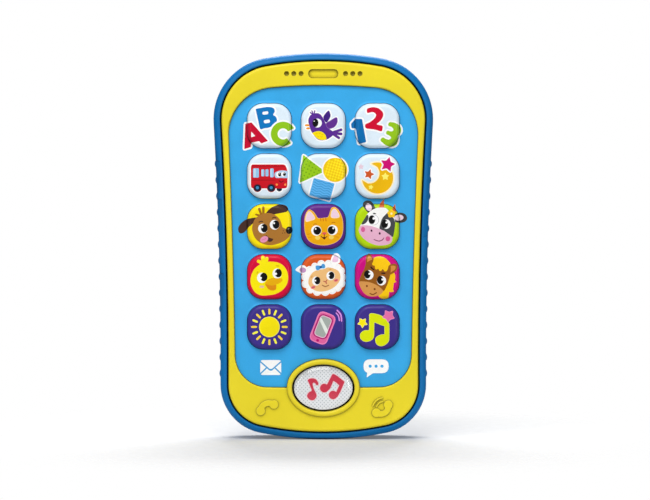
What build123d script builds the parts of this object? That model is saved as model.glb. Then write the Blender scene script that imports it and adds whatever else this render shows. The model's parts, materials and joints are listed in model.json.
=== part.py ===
from build123d import *
import os
from math import cos, radians, sin, sqrt

# Toy cell phone, in millimetres. It stands upright: +Z runs up its height, +X to the right as seen
# from the front, and the front faces -Y. The origin is below the middle of its thickness, at its foot.

# Outline: a crown arc and a base arc, drawn in a little by a long scoop down each side.
HEIGHT = 150.0
CROWN_R = 131.4
BASE_R = 120.8
SCOOP_R = 1632.0
WAIST_X = 39.95  # half width at the narrowest place
WAIST_Z = 31.0
TOP_CORNER_R = 24.0
FOOT_CORNER_R = 19.1

# Window in the yellow bezel, made the same way.
WINDOW_TOP = 137.64
WINDOW_FOOT = 20.28
WINDOW_CROWN_R = 228.5
WINDOW_BASE_R = 2000.0
WINDOW_SCOOP_R = 3023.0
WINDOW_WAIST_X = 33.98
WINDOW_WAIST_Z = -11.0
WINDOW_TOP_CORNER_R = 18.3
WINDOW_FOOT_CORNER_R = 12.7

# Layers through the thickness, from the front (-Y) to the back (+Y).
LENS_Y = -13.0
KEY_Y = -12.6
RING_Y = -12.4
BEZEL_Y = -11.6
RIM_Y = -10.8
FILM_Y = -10.4
FLOOR_Y = -10.0
FLOOR_BACK_Y = -8.4
BOARD_Y = -3.5
BOARD_BACK_Y = -1.9
BATTERY_FLOOR_Y = -0.3
BACK_WALL_Y = 11.0
DOOR_Y = 12.9
BACK_Y = 13.0

# Shells
WALL = 2.7
SHELL_GAP = 0.45  # between the blue rim and the yellow bezel
SKIRT_WALL = 2.0
SKIRT_BACK_Y = -4.0
BACK_EDGE_R = 5.5
RIM_EDGE_R = 2.5
RIM_INNER_R = 0.6
RIB_COUNT = 14
RIB_R = 2.6
RIB_PROUD = 0.5
RIB_FIRST_Z = 25.5
RIB_PITCH = 6.28
RIB_FRONT_Y = -5.0
RIB_BACK_Y = 3.0

# Keys
KEY_ROWS = [
    ["letters", "bird", "numbers"],
    ["bus", "shapes", "moon"],
    ["dog", "cat", "cow"],
    ["duck", "sheep", "horse"],
    ["sun", "phone", "music"],
]
KEY_TOP_ROW_Z = 121.9
KEY_PITCH_X = 20.9
KEY_PITCH_Z = 19.5
KEY_WIDTH = 17.1
KEY_HEIGHT = 17.3
KEY_CORNER_R = 6.2
KEY_EDGE_R = 1.6
KEY_GAP = 0.3
FLANGE_LIP = 0.9
FLANGE_THICK = 1.0
FLANGE_GAP = 0.1
STEM_R = 3.0
STEM_TIP_Y = -6.2

# Music button
BUTTON_Z = 20.2
RING_HALF = (14.1, 11.2)
BUTTON_HOLE_HALF = (12.1, 9.1)
BUTTON_HALF = (11.5, 8.6)
BUTTON_SAG = 1.6  # drop of the lens dome from its middle to its long ends
LENS_BACK_Y = -10.6
INSERT_BACK_Y = -10.1
BUTTON_FLANGE_LIP = 0.9
BUTTON_STEM_X = 7.0

# Bezel details
EARPIECE_Z = 142.1
EARPIECE_SIZE = (11.6, 3.5)
EARPIECE_CORNER_R = 1.6
DIMPLE_X = [8.6, 11.4, 14.2]
DIMPLE_R = 1.0
RECESS_DEPTH = 0.8
ICON_Z = 12.4
ICON_X = 22.3
ICON_HEIGHT = 0.45
HANDSET_LOBE_R = 1.75
HANDSET_GRIP = 2.3

# Contact mat and board
MAT_THICK = 1.0
MAT_DOME_R = (4.2, 2.6)  # foot and crown
MAT_DOME_Y = -6.15
PILL_R = 1.8
PILL_THICK = 0.5
PILL_Y = -5.3
BOARD_SIZE = (54.0, 98.0)
BOARD_Z = 81.0
BOARD_TONGUE = (34.0, 28.0)
BOARD_TONGUE_Z = 22.0
POST_XZ = [(side * KEY_PITCH_X / 2, z) for side in (-1, 1) for z in (53.65, 112.15)]
POST_R = 2.4
BOARD_SCREW_R = 1.0
LED_R = 1.5

# Housing screws
BOSS_XZ = [(-27.5, 18.5), (27.5, 18.5), (-33.0, 131.0), (33.0, 131.0)]
BOSS_R = 3.2
BOSS_BACK_Y = 0.9
TUBE_R = 4.4
TUBE_FRONT_Y = 1.0
SCREW_R = 1.3
SCREW_HEAD_R = 2.7
SCREW_HEAD_THICK = 1.8
SCREW_SEAT_Y = 4.0
SCREW_TIP_Y = -7.0
THREAD_GAP = 0.05

# Battery box and door
CELL_R = 5.25
CELL_LENGTH = 44.5
CELL_PITCH = 11.2
CELL_COUNT = 3
CELL_Z = 52.0
CELL_Y = 6.2
BOX_HALF_X = 17.0
BOX_HALF_Z = 24.9
BOX_WALL = 1.4
BOX_FLOOR = 1.2
DOOR_WIDTH = 42.0
DOOR_HEIGHT = 66.0
DOOR_Z = 55.0
DOOR_CORNER_R = 5.0
DOOR_THICK = 1.4
DOOR_GAP = 0.25
PAD_FRONT_Y = 9.6
DOOR_SCREW_Z = 82.5

# Power slider
SWITCH_Z = 95.5
SLIDER_OFF_X = -2.5
SLIDER_TRAVEL = 5.0
KNOB = (5.0, 3.8)
SLOT_HEIGHT = 4.4
SLIDER_PLATE = (17.0, 7.0)

# Loudspeaker
SPEAKER_Z = 117.0
SPEAKER_R = 14.0
SPEAKER_FACE_Y = 9.4
SPEAKER_RIM_THICK = 0.8
CLAMP_POST_Y = 8.5
GRILLE_HOLE_R = 1.2
GRILLE_PITCH = 4.2


# ---------------------------------------------------------------- helpers

def slab(sketch, front_y, back_y):
    """Solid between two depths, from a sketch drawn in X and Z as seen from the front."""
    return extrude(Plane.XZ.offset(-back_y) * sketch, amount=back_y - front_y)


def rod(radius, x, z, front_y, back_y):
    """Round bar along Y."""
    return slab(Pos(x, z) * Circle(radius), front_y, back_y)


def facing_all(part, y):
    """The flat faces that lie at depth y."""
    return part.faces().filter_by(Axis.Y).filter_by_position(Axis.Y, y - 0.01, y + 0.01)


def facing(part, y):
    """The largest flat face that lies at depth y."""
    return facing_all(part, y).sort_by(SortBy.AREA)[-1]


def turned(profile, x, z):
    """Solid of revolution about an axis along Y through (x, z), from (radius, y) points."""
    face = make_face(Polyline(*profile, close=True))
    return Pos(x, 0, z) * revolve(face, Axis.Y)


def shield(crown_r, top, base_r, foot, waist_x, waist_z, scoop_r, top_r, foot_r, grow):
    """Rounded outline between a crown arc and a base arc, with a long scoop down each side."""
    shape = Pos(0, top - crown_r) * Circle(crown_r + grow) & Pos(0, foot + base_r) * Circle(base_r + grow)
    for side in (-1, 1):
        scoop = Rot(0, 0, 90 - 90 * side) * Circle(scoop_r - grow)
        shape -= Pos(side * (waist_x + scoop_r), waist_z) * scoop
    shape = fillet(shape.vertices().sort_by(Axis.Y)[-2:], top_r + grow)
    return fillet(shape.vertices().sort_by(Axis.Y)[:2], foot_r + grow)


def outline(grow=0.0):
    """Outer edge of the phone, grown on all sides."""
    return shield(CROWN_R, HEIGHT, BASE_R, 0, WAIST_X, WAIST_Z, SCOOP_R, TOP_CORNER_R, FOOT_CORNER_R, grow)


def window(grow=0.0):
    """Opening in the bezel that shows the printed panel, grown on all sides."""
    return shield(WINDOW_CROWN_R, WINDOW_TOP, WINDOW_BASE_R, WINDOW_FOOT, WINDOW_WAIST_X, WINDOW_WAIST_Z,
                  WINDOW_SCOOP_R, WINDOW_TOP_CORNER_R, WINDOW_FOOT_CORNER_R, grow)


def key_places():
    """Name and centre of every key, row by row from the top left."""
    return [
        (name, (column - 1) * KEY_PITCH_X, KEY_TOP_ROW_Z - row * KEY_PITCH_Z)
        for row, names in enumerate(KEY_ROWS)
        for column, name in enumerate(names)
    ]


def key_sketch(grow=0.0):
    """Outline of one key about its own centre, grown on all sides."""
    return RectangleRounded(KEY_WIDTH + 2 * grow, KEY_HEIGHT + 2 * grow, KEY_CORNER_R + grow)


def oval(half, grow=0.0):
    """Upright ellipse about the music button's centre."""
    return Pos(0, BUTTON_Z) * Ellipse(half[0] + grow, half[1] + grow)


def key_openings(grow):
    """All fifteen key outlines in their places."""
    return Sketch() + [Pos(x, z) * key_sketch(grow) for _, x, z in key_places()]


def stroke(start, middle, end, width):
    """Band of even width along an arc through three points, with round ends."""
    return SlotArc(ThreePointArc(start, middle, end), width)


# ---------------------------------------------------------------- casing

def side_x(z):
    """Half width of the phone on its scooped side."""
    return WAIST_X + SCOOP_R - sqrt(SCOOP_R ** 2 - (z - WAIST_Z) ** 2)


def grip_rib(side, z):
    """Bar with round ends along the side wall, most of it inside the wall."""
    x = side * (side_x(z) + RIB_PROUD - RIB_R)
    bar = rod(RIB_R, x, z, RIB_FRONT_Y, RIB_BACK_Y)
    ends = [Pos(x, y, z) * Sphere(RIB_R) for y in (RIB_FRONT_Y, RIB_BACK_Y)]
    return bar + ends


def battery_box():
    """Walls and floor of the battery box, with the thick pad round its mouth."""
    outer = Rectangle(2 * (BOX_HALF_X + BOX_WALL), 2 * (BOX_HALF_Z + BOX_WALL))
    box = slab(Pos(0, CELL_Z) * outer, BATTERY_FLOOR_Y, BACK_WALL_Y)
    pad = RectangleRounded(DOOR_WIDTH + 5, DOOR_HEIGHT + 5, DOOR_CORNER_R + 2.5)
    box += slab(Pos(0, DOOR_Z) * pad, PAD_FRONT_Y, BACK_WALL_Y)
    return box + rod(TUBE_R + 1.2, 0, DOOR_SCREW_Z, 2.0, BACK_WALL_Y)


def battery_cavity():
    """Room for the cells, the seat for the door, and the well for the door's screw."""
    inner = Rectangle(2 * BOX_HALF_X, 2 * BOX_HALF_Z)
    room = slab(Pos(0, CELL_Z) * inner, BATTERY_FLOOR_Y + BOX_FLOOR, BACK_Y)
    door = RectangleRounded(DOOR_WIDTH + 2 * DOOR_GAP, DOOR_HEIGHT + 2 * DOOR_GAP, DOOR_CORNER_R)
    room += slab(Pos(0, DOOR_Z) * door, DOOR_Y - DOOR_THICK, BACK_Y)
    room += rod(TUBE_R, 0, DOOR_SCREW_Z, 9.4, BACK_Y)
    return room + rod(SCREW_R + THREAD_GAP, 0, DOOR_SCREW_Z, 3.0, BACK_Y)


def screw_tubes():
    """Four tubes that reach forward from the back wall to meet the bezel's bosses."""
    return Part() + [rod(TUBE_R, x, z, TUBE_FRONT_Y, BACK_WALL_Y) for x, z in BOSS_XZ]


def screw_bores():
    """Wide bore for each screw's head from the back, and a clearance hole in its seat."""
    wide = [rod(SCREW_HEAD_R + 0.3, x, z, SCREW_SEAT_Y, BACK_Y) for x, z in BOSS_XZ]
    narrow = [rod(SCREW_R + 0.3, x, z, TUBE_FRONT_Y, SCREW_SEAT_Y) for x, z in BOSS_XZ]
    return Part() + wide + narrow


def speaker_clamp_places():
    """Centres of the three clamp screws round the loudspeaker."""
    ring = SPEAKER_R + SCREW_R + 1.1
    return [(ring * cos(radians(a)), SPEAKER_Z + ring * sin(radians(a))) for a in (-30, 90, 210)]


def speaker_fixings():
    """Ring that the loudspeaker sits on, and three posts for its clamp screws."""
    posts = [rod(2.2, x, z, CLAMP_POST_Y, BACK_WALL_Y) for x, z in speaker_clamp_places()]
    ring = rod(SPEAKER_R, 0, SPEAKER_Z, SPEAKER_FACE_Y, BACK_WALL_Y)
    return ring - rod(SPEAKER_R - 1.6, 0, SPEAKER_Z, SPEAKER_FACE_Y, BACK_WALL_Y) + posts


def grille():
    """Sound holes in two rings round a middle one."""
    holes = [rod(GRILLE_HOLE_R, 0, SPEAKER_Z, BACK_WALL_Y - 0.5, BACK_Y)]
    for ring in (1, 2):
        for k in range(6 * ring):
            angle = radians(360 * k / (6 * ring))
            x = ring * GRILLE_PITCH * cos(angle)
            z = SPEAKER_Z + ring * GRILLE_PITCH * sin(angle)
            holes.append(rod(GRILLE_HOLE_R, x, z, BACK_WALL_Y - 0.5, BACK_Y))
    return Part() + holes


def slider_guides():
    """Two rails on the inside of the back wall, above and below the slider's plate."""
    rail = Rectangle(26, 1.4)
    offset_z = SLIDER_PLATE[1] / 2 + 0.2 + 0.7
    return Part() + [
        slab(Pos(0, SWITCH_Z + side * offset_z) * rail, 8.4, BACK_WALL_Y) for side in (-1, 1)
    ]


def slider_slot():
    """Slot for the knob, in a shallow finger recess."""
    slot = RectangleRounded(KNOB[0] + SLIDER_TRAVEL + 0.6, SLOT_HEIGHT, 1.0)
    recess = RectangleRounded(22, 9, 3.5)
    cut = slab(Pos(0, SWITCH_Z) * slot, BACK_WALL_Y - 0.5, BACK_Y)
    return cut + slab(Pos(0, SWITCH_Z) * recess, BACK_Y - 0.6, BACK_Y)


def contact_slots():
    """Slots in the top wall of the battery box for the contacts' solder tails."""
    slots = [slab(Pos(x, CELL_Z + BOX_HALF_Z + 1) * Rectangle(2.4, 4), 4.6, 6.4)
             for x in (-CELL_PITCH, CELL_PITCH)]
    return Part() + slots


def rear_shell():
    """Blue tray: rim, ribbed sides, back wall, battery box, screw tubes and speaker seat."""
    body = slab(outline(), RIM_Y, BACK_Y)
    body = fillet(facing(body, BACK_Y).edges(), BACK_EDGE_R)
    body = fillet(facing(body, RIM_Y).edges(), RIM_EDGE_R)
    ribs = [grip_rib(side, RIB_FIRST_Z + RIB_PITCH * k) for side in (-1, 1) for k in range(RIB_COUNT)]
    body += ribs
    room = slab(outline(-WALL), RIM_Y, BACK_WALL_Y)
    room = fillet(facing(room, BACK_WALL_Y).edges(), BACK_EDGE_R - WALL / 2)
    body -= room
    body = fillet(facing(body, RIM_Y).inner_wires()[0].edges(), RIM_INNER_R)
    inside = battery_box() + screw_tubes() + speaker_fixings() + slider_guides()
    body += inside & slab(outline(-WALL / 2), RIM_Y, BACK_WALL_Y + 0.5)
    body -= battery_cavity() + screw_bores() + grille() + slider_slot() + contact_slots()
    clamp = [rod(BOARD_SCREW_R + THREAD_GAP, x, z, CLAMP_POST_Y, 12.0) for x, z in speaker_clamp_places()]
    return body - clamp


def handset(lobes, bend):
    """Telephone handset: a bent grip with a round lobe at each end."""
    shape = stroke(lobes[0], bend, lobes[1], HANDSET_GRIP)
    shape += [Pos(*lobe) * Circle(HANDSET_LOBE_R) for lobe in lobes]
    return fillet(shape.vertices(), 0.5)


def sound_wave(radius):
    """Arc of a sound wave, open towards the lower right."""
    points = [(radius * cos(radians(a)), radius * sin(radians(a))) for a in (98, 131, 164)]
    return stroke(*points, 0.62)


def bezel_icons():
    """Raised symbols: a handset on the left, and a ringing handset on the right."""
    quiet = Pos(-ICON_X + 0.5, ICON_Z) * handset([(-2.5, -1.1), (2.6, 1.4)], (-0.4, 1.8))
    ringing = handset([(-2.2, -1.8), (2.4, 1.3)], (1.5, -1.5))
    ringing += [Pos(0.6, -0.3) * sound_wave(radius) for radius in (2.9, 4.3)]
    raised = slab(quiet + Pos(ICON_X + 0.5, ICON_Z) * ringing, BEZEL_Y - ICON_HEIGHT, BEZEL_Y + 0.4)
    return fillet(facing_all(raised, BEZEL_Y - ICON_HEIGHT).edges(), 0.2)


def earpiece():
    """Shallow blind recess with three blind dimples on each side."""
    slot = RectangleRounded(*EARPIECE_SIZE, EARPIECE_CORNER_R)
    cut = slab(Pos(0, EARPIECE_Z) * slot, BEZEL_Y, BEZEL_Y + RECESS_DEPTH)
    dimple = [(0, BEZEL_Y), (DIMPLE_R, BEZEL_Y), (DIMPLE_R * 0.7, BEZEL_Y + 0.9), (0, BEZEL_Y + 1.2)]
    return cut + [turned(dimple, side * x, EARPIECE_Z) for side in (-1, 1) for x in DIMPLE_X]


def button_ring():
    """Raised oval collar round the music button."""
    collar = slab(oval(RING_HALF) - oval(BUTTON_HOLE_HALF), RING_Y, FLOOR_BACK_Y)
    return fillet(facing(collar, RING_Y).edges(), 0.8)


def front_bosses():
    """Bosses for the housing screws and posts for the board, behind the floor."""
    bosses = [rod(BOSS_R, x, z, FLOOR_BACK_Y - 0.5, BOSS_BACK_Y) for x, z in BOSS_XZ]
    posts = [rod(POST_R, x, z, FLOOR_BACK_Y - 0.5, BOARD_Y - 0.05) for x, z in POST_XZ]
    return Part() + bosses + posts


def front_shell():
    """Yellow bezel, with the floor that carries the panel and guides the keys."""
    inset = -WALL - SHELL_GAP
    body = slab(outline(inset), BEZEL_Y, SKIRT_BACK_Y)
    body = fillet(facing(body, BEZEL_Y).edges(), 1.0)
    body -= slab(outline(inset - SKIRT_WALL), FLOOR_BACK_Y, SKIRT_BACK_Y)
    body -= slab(window(), BEZEL_Y, FLOOR_Y)
    body = fillet(facing(body, BEZEL_Y).inner_wires()[0].edges(), 0.6)
    body += button_ring() + front_bosses() + bezel_icons()
    body -= slab(oval(BUTTON_HOLE_HALF), LENS_Y, FLOOR_BACK_Y)
    body -= slab(key_openings(KEY_GAP), FLOOR_Y, FLOOR_BACK_Y)
    body -= earpiece()
    pilots = [rod(SCREW_R + THREAD_GAP, x, z, -7.4, BOSS_BACK_Y) for x, z in BOSS_XZ]
    pilots += [rod(BOARD_SCREW_R + THREAD_GAP, x, z, -7.4, BOARD_Y) for x, z in POST_XZ]
    return body - pilots


def key_film():
    """Printed blue panel, open round every key and cut away round the music button's collar."""
    sheet = window(-0.2) - oval(RING_HALF, 0.2) - key_openings(KEY_GAP)
    return slab(sheet, FILM_Y, FLOOR_Y)


# ---------------------------------------------------------------- keys and music button

def key():
    """Key about its own centre: crowned cap, flange behind the floor, stem on the mat."""
    cap = slab(key_sketch(), KEY_Y, FLOOR_BACK_Y + FLANGE_GAP)
    cap = fillet(facing(cap, KEY_Y).edges(), KEY_EDGE_R)
    flange_y = FLOOR_BACK_Y + FLANGE_GAP
    cap += slab(key_sketch(FLANGE_LIP), flange_y, flange_y + FLANGE_THICK)
    return cap + rod(STEM_R, 0, 0, flange_y, STEM_TIP_Y)


def home_button_lens():
    """Clear oval dome."""
    radius = (BUTTON_HALF[0] ** 2 + BUTTON_SAG ** 2) / (2 * BUTTON_SAG)
    ball = Pos(0, LENS_Y + radius, BUTTON_Z) * Rot(90, 0, 0) * Sphere(radius)
    return slab(oval(BUTTON_HALF), LENS_Y - 1, LENS_BACK_Y) & ball


def home_button_insert():
    """Printed silver plate behind the lens."""
    return slab(oval(BUTTON_HALF, -0.1), LENS_BACK_Y, INSERT_BACK_Y)


def home_button_plunger():
    """Carrier under the plate: a cup with a flange, hollow for the lamp, and two stems."""
    flange_y = FLOOR_BACK_Y + FLANGE_GAP
    body = slab(oval(BUTTON_HALF), INSERT_BACK_Y, flange_y)
    body += slab(oval(BUTTON_HOLE_HALF, BUTTON_FLANGE_LIP), flange_y, flange_y + FLANGE_THICK)
    body -= rod(3.6, 0, BUTTON_Z, INSERT_BACK_Y, STEM_TIP_Y)
    stems = [rod(2.4, x, BUTTON_Z, flange_y, STEM_TIP_Y) for x in (-BUTTON_STEM_X, BUTTON_STEM_X)]
    return body + stems


# ---------------------------------------------------------------- contacts and board

def contact_places():
    """Every place where the mat has a dome: under each key, and two under the music button."""
    keys = [(x, z) for _, x, z in key_places()]
    return keys + [(-BUTTON_STEM_X, BUTTON_Z), (BUTTON_STEM_X, BUTTON_Z)]


def board_sketch(grow=0.0):
    """Board outline: a wide body and a tongue that reaches down to the music button."""
    body = Pos(0, BOARD_Z) * RectangleRounded(BOARD_SIZE[0] + grow, BOARD_SIZE[1] + grow, 2)
    tongue = Rectangle(BOARD_TONGUE[0] + grow, BOARD_TONGUE[1] + grow)
    return body + Pos(0, BOARD_TONGUE_Z) * tongue


def contact_mat():
    """Silicone sheet with a hollow dome at every contact."""
    sheet = board_sketch(-1.6) - Pos(0, BUTTON_Z) * Circle(LED_R + 0.7)
    sheet -= [Pos(x, z) * Circle(POST_R + 0.5) for x, z in POST_XZ]
    mat_y = BOARD_Y - MAT_THICK
    foot, crown = MAT_DOME_R
    dome = [(0, mat_y + 0.5), (foot, mat_y + 0.5), (foot, mat_y), (crown, MAT_DOME_Y), (0, MAT_DOME_Y)]
    hollow = [(0, BOARD_Y), (foot - 0.9, BOARD_Y), (crown - 0.6, PILL_Y), (0, PILL_Y)]
    mat = slab(sheet, mat_y, BOARD_Y)
    mat += [turned(dome, x, z) for x, z in contact_places()]
    return mat - [turned(hollow, x, z) for x, z in contact_places()]


def contact_pills():
    """Carbon pill in the roof of every dome."""
    return [rod(PILL_R, x, z, PILL_Y, PILL_Y + PILL_THICK) for x, z in contact_places()]


def main_pcb():
    """Circuit board, with holes for its screws."""
    board = board_sketch() - [Pos(x, z) * Circle(BOARD_SCREW_R + 0.3) for x, z in POST_XZ]
    return slab(board, BOARD_Y, BOARD_BACK_Y)


def screw(x, z, radius, head_r, head_thick, tip_y, seat_y):
    """Pan head screw that points to the front, with a cross recess in its head."""
    shape = rod(head_r, x, z, seat_y, seat_y + head_thick)
    shape = fillet(facing(shape, seat_y + head_thick).edges(), head_thick * 0.35)
    cross = Rectangle(head_r * 1.1, head_r * 0.24) + Rectangle(head_r * 0.24, head_r * 1.1)
    shape -= slab(Pos(x, z) * cross, seat_y + head_thick * 0.45, seat_y + head_thick)
    shank = [(0, tip_y), (radius * 0.3, tip_y), (radius, tip_y + radius), (radius, seat_y), (0, seat_y)]
    return shape + turned(shank, x, z)


def pcb_screws():
    """Four short screws that hold the board to the front shell's posts."""
    return [screw(x, z, BOARD_SCREW_R, 1.9, 1.2, -6.9, BOARD_BACK_Y) for x, z in POST_XZ]


def housing_screws():
    """Four long screws that hold the shells together."""
    return [
        screw(x, z, SCREW_R, SCREW_HEAD_R, SCREW_HEAD_THICK, SCREW_TIP_Y, SCREW_SEAT_Y)
        for x, z in BOSS_XZ
    ]


def speaker_clamp_screws():
    """Three screws whose heads grip the loudspeaker's rim, driven from inside."""
    places = speaker_clamp_places()
    screws = [screw(-x, z, BOARD_SCREW_R, 2.1, 1.2, -11.8, -CLAMP_POST_Y) for x, z in places]
    return [Rot(0, 0, 180) * one for one in screws]


def chip_blob():
    """Resin blob over the sound chip."""
    return turned([(0, BOARD_BACK_Y), (5.0, BOARD_BACK_Y), (4.2, -1.2), (2.4, -0.6), (0, -0.4)], -15, 96)


def smd_parts():
    """Six small resistors and capacitors on the back of the board."""
    places = [(-22, 84), (-19, 84), (-22, 88), (16, 86), (19, 86), (22, 86)]
    return [slab(Pos(x, z) * Rectangle(1.3, 2.0), BOARD_BACK_Y, BOARD_BACK_Y + 0.6) for x, z in places]


def electrolytic_capacitor():
    """Can that stands on the board, with a rounded rim and a scored top."""
    can = rod(2.5, 19, 95, BOARD_BACK_Y, BOARD_BACK_Y + 7)
    can = fillet(can.edges().filter_by(GeomType.CIRCLE), 0.4)
    return can - slab(Pos(19, 95) * Rectangle(3.6, 0.3), BOARD_BACK_Y + 6.8, BOARD_BACK_Y + 7)


def status_led():
    """Round-topped lamp that faces the music button."""
    lamp = rod(LED_R, 0, BUTTON_Z, -7.0, BOARD_Y)
    lamp = fillet(lamp.edges().filter_by(GeomType.CIRCLE).sort_by(Axis.Y)[:1], LED_R * 0.9)
    return lamp + rod(LED_R + 0.4, 0, BUTTON_Z, BOARD_Y - 0.6, BOARD_Y)


# ---------------------------------------------------------------- switch and slider

def slide_switch_body():
    """Switch soldered to the back of the board, open at the back for its lever."""
    case = slab(Pos(0, SWITCH_Z) * Rectangle(12, 5.2), BOARD_BACK_Y, 1.6)
    return case - slab(Pos(0, SWITCH_Z) * Rectangle(8.0, 2.0), 0.2, 1.6)


def switch_lever():
    """Lever of the switch, which the slider carries from side to side."""
    lever = Pos(SLIDER_OFF_X, SWITCH_Z) * Rectangle(1.9, 1.7)
    return slab(lever, 0.4, 5.0)


def power_slider():
    """Knob at the back, plate behind the slot, and a fork that straddles the switch's lever."""
    plate = Pos(SLIDER_OFF_X, SWITCH_Z) * Rectangle(*SLIDER_PLATE)
    body = slab(plate, 9.7, BACK_WALL_Y - 0.1)
    knob = slab(Pos(SLIDER_OFF_X, SWITCH_Z) * RectangleRounded(*KNOB, 0.8), 10.5, DOOR_Y)
    knob -= [
        slab(Pos(SLIDER_OFF_X + k, SWITCH_Z) * Rectangle(0.5, KNOB[1]), DOOR_Y - 0.3, DOOR_Y)
        for k in (-1.4, 0, 1.4)
    ]
    prongs = [
        slab(Pos(SLIDER_OFF_X + side * 1.75, SWITCH_Z) * Rectangle(1.2, 3.6), 2.2, 10)
        for side in (-1, 1)
    ]
    return body + knob + prongs


# ---------------------------------------------------------------- loudspeaker

def speaker_frame():
    """Pressed basket: a flat rim on its seat and a cup that narrows to the magnet."""
    face = SPEAKER_FACE_Y
    rim = face - SPEAKER_RIM_THICK
    cup = face - 3.8
    profile = [(SPEAKER_R, face), (SPEAKER_R, rim), (12.6, rim), (9.4, cup), (0, cup), (0, cup + 0.5),
               (9.0, cup + 0.5), (12.2, rim + 0.3), (12.2, face)]
    return turned(profile, 0, SPEAKER_Z)


def speaker_magnet():
    """Magnet in its steel pot, with a rounded edge."""
    back = SPEAKER_FACE_Y - 3.8
    pot = rod(7.5, 0, SPEAKER_Z, back - 2.6, back)
    return fillet(facing(pot, back - 2.6).edges(), 0.5)


def speaker_cone():
    """Thin cone with a domed cap, facing the sound holes."""
    front = [(11.7, -0.8), (10.5, -1.1), (4.6, -2.6), (0, -2.1)]
    back = [(0, -1.8), (4.4, -2.3), (10.4, -0.8), (11.2, -0.4), (11.7, -0.5)]
    return turned([(r, SPEAKER_FACE_Y + depth) for r, depth in front + back], 0, SPEAKER_Z)


# ---------------------------------------------------------------- batteries

def cell_places():
    """Centre and direction of each cell: every other one is turned over."""
    middle = (CELL_COUNT - 1) / 2
    return [((k - middle) * CELL_PITCH, 1 - 2 * (k % 2)) for k in range(CELL_COUNT)]


def cell():
    """AAA cell about its own centre, with its raised contact at the +Z end."""
    half = CELL_LENGTH / 2
    points = [(0, -half), (CELL_R - 0.4, -half), (CELL_R, 0.4 - half), (CELL_R, half - 1.6),
              (CELL_R - 0.6, half - 1.0), (1.9, half - 1.0), (1.9, half), (0, half)]
    return revolve(make_face(Plane.XZ * Polyline(*points, close=True)), Axis.Z)


def battery_cells():
    """Three cells side by side."""
    return [Pos(x, CELL_Y, CELL_Z) * Rot(0, 90 - 90 * way, 0) * cell() for x, way in cell_places()]


def battery_springs():
    """Coil contact that bears on the flat end of each cell."""
    springs = []
    for x, way in cell_places():
        end_z = CELL_Z - way * (BOX_HALF_Z - 0.65)
        path = Helix(pitch=1.1, height=1.75, radius=2.6, cone_angle=0)
        wire = sweep(Plane(path @ 0, z_dir=path % 0) * Circle(0.28), path, is_frenet=True)
        springs.append(Pos(x, CELL_Y, end_z) * Rot(90 - 90 * way, 0, 0) * wire)
    return springs


def battery_plates():
    """Sheet contacts at both ends of the box: two single, and two that link neighbours."""
    plates = []
    reach = BOX_HALF_Z - 0.2
    for side, spans in ((1, [(-1, -1), (0, 1)]), (-1, [(-1, 0), (1, 1)])):
        for first, last in spans:
            middle = (first + last) / 2 * CELL_PITCH
            width = 7.6 + (last - first) * CELL_PITCH
            plates.append(Pos(middle, CELL_Y, CELL_Z + side * reach) * Box(width, 7.0, 0.3))
    tail_z = CELL_Z + BOX_HALF_Z + 1.1
    tails = [Pos(x, 5.5, tail_z) * Box(1.8, 0.4, 2.9) for x in (-CELL_PITCH, CELL_PITCH)]
    plates[0] += tails[0]
    plates[1] += tails[1]
    return plates


def battery_door():
    """Flat door with grip grooves, two locating lugs, and a well for its screw."""
    sheet = Pos(0, DOOR_Z) * RectangleRounded(DOOR_WIDTH, DOOR_HEIGHT, DOOR_CORNER_R)
    door = slab(sheet, DOOR_Y - DOOR_THICK, DOOR_Y)
    door = fillet(facing(door, DOOR_Y).edges(), 0.4)
    door += rod(TUBE_R - 0.3, 0, DOOR_SCREW_Z, 9.5, DOOR_Y - 0.5)
    lug_z = CELL_Z - BOX_HALF_Z + 0.2 + 0.5
    door += [slab(Pos(x, lug_z) * Rectangle(4, 1.0), 10.2, DOOR_Y - 0.6) for x in (-12, 12)]
    door -= [slab(Pos(0, 68 + 2 * k) * Rectangle(18 - 3 * k, 0.8), DOOR_Y - 0.4, DOOR_Y) for k in range(4)]
    door -= rod(SCREW_HEAD_R + 0.3, 0, DOOR_SCREW_Z, 10.9, DOOR_Y)
    return door - rod(SCREW_R + 0.3, 0, DOOR_SCREW_Z, 9.5, 11)


def battery_door_screw():
    """Captive screw of the battery door."""
    return screw(0, DOOR_SCREW_Z, SCREW_R, SCREW_HEAD_R, 1.6, 3.6, 10.95)


# ---------------------------------------------------------------- leads

def lead(points, radius=0.55):
    """Insulated lead through the given points."""
    path = Spline(*points)
    return sweep(Plane(path @ 0, z_dir=path % 0) * Circle(radius), path)


def battery_wires():
    """Two leads from the battery box's tails to the board."""
    return [
        lead([(x, 5.5, 80.0), (x * 1.15, 4.4, 82.5), (x * 1.3, 1.4, 84.5), (x * 1.3, -1.3, 84.6)])
        for x in (-CELL_PITCH, CELL_PITCH)
    ]


def speaker_wires():
    """Two leads from the loudspeaker's rim to the board."""
    return [
        lead([(x, 6.4, 116.0), (x * 1.25, 5.0, 113.0), (x * 1.5, 1.6, 110.0), (x * 1.5, -1.3, 109.4)])
        for x in (-11.8, 11.8)
    ]


# ---------------------------------------------------------------- output

PIECES = [
    rear_shell, front_shell, key_film, home_button_lens, home_button_insert, home_button_plunger,
    contact_mat, contact_pills, main_pcb, pcb_screws, chip_blob, smd_parts, electrolytic_capacitor,
    status_led, slide_switch_body, switch_lever, power_slider, speaker_frame, speaker_magnet,
    speaker_cone, speaker_clamp_screws, battery_cells, battery_springs, battery_plates,
    battery_door, battery_door_screw, housing_screws, battery_wires, speaker_wires,
]


def write_step(shape, node):
    """Write one node, as a single solid or as a group of them."""
    if isinstance(shape, list):
        shape = Compound(children=[Solid(one.solid().wrapped) for one in shape])
    export_step(shape, f"parts/{node}.step")


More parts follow.
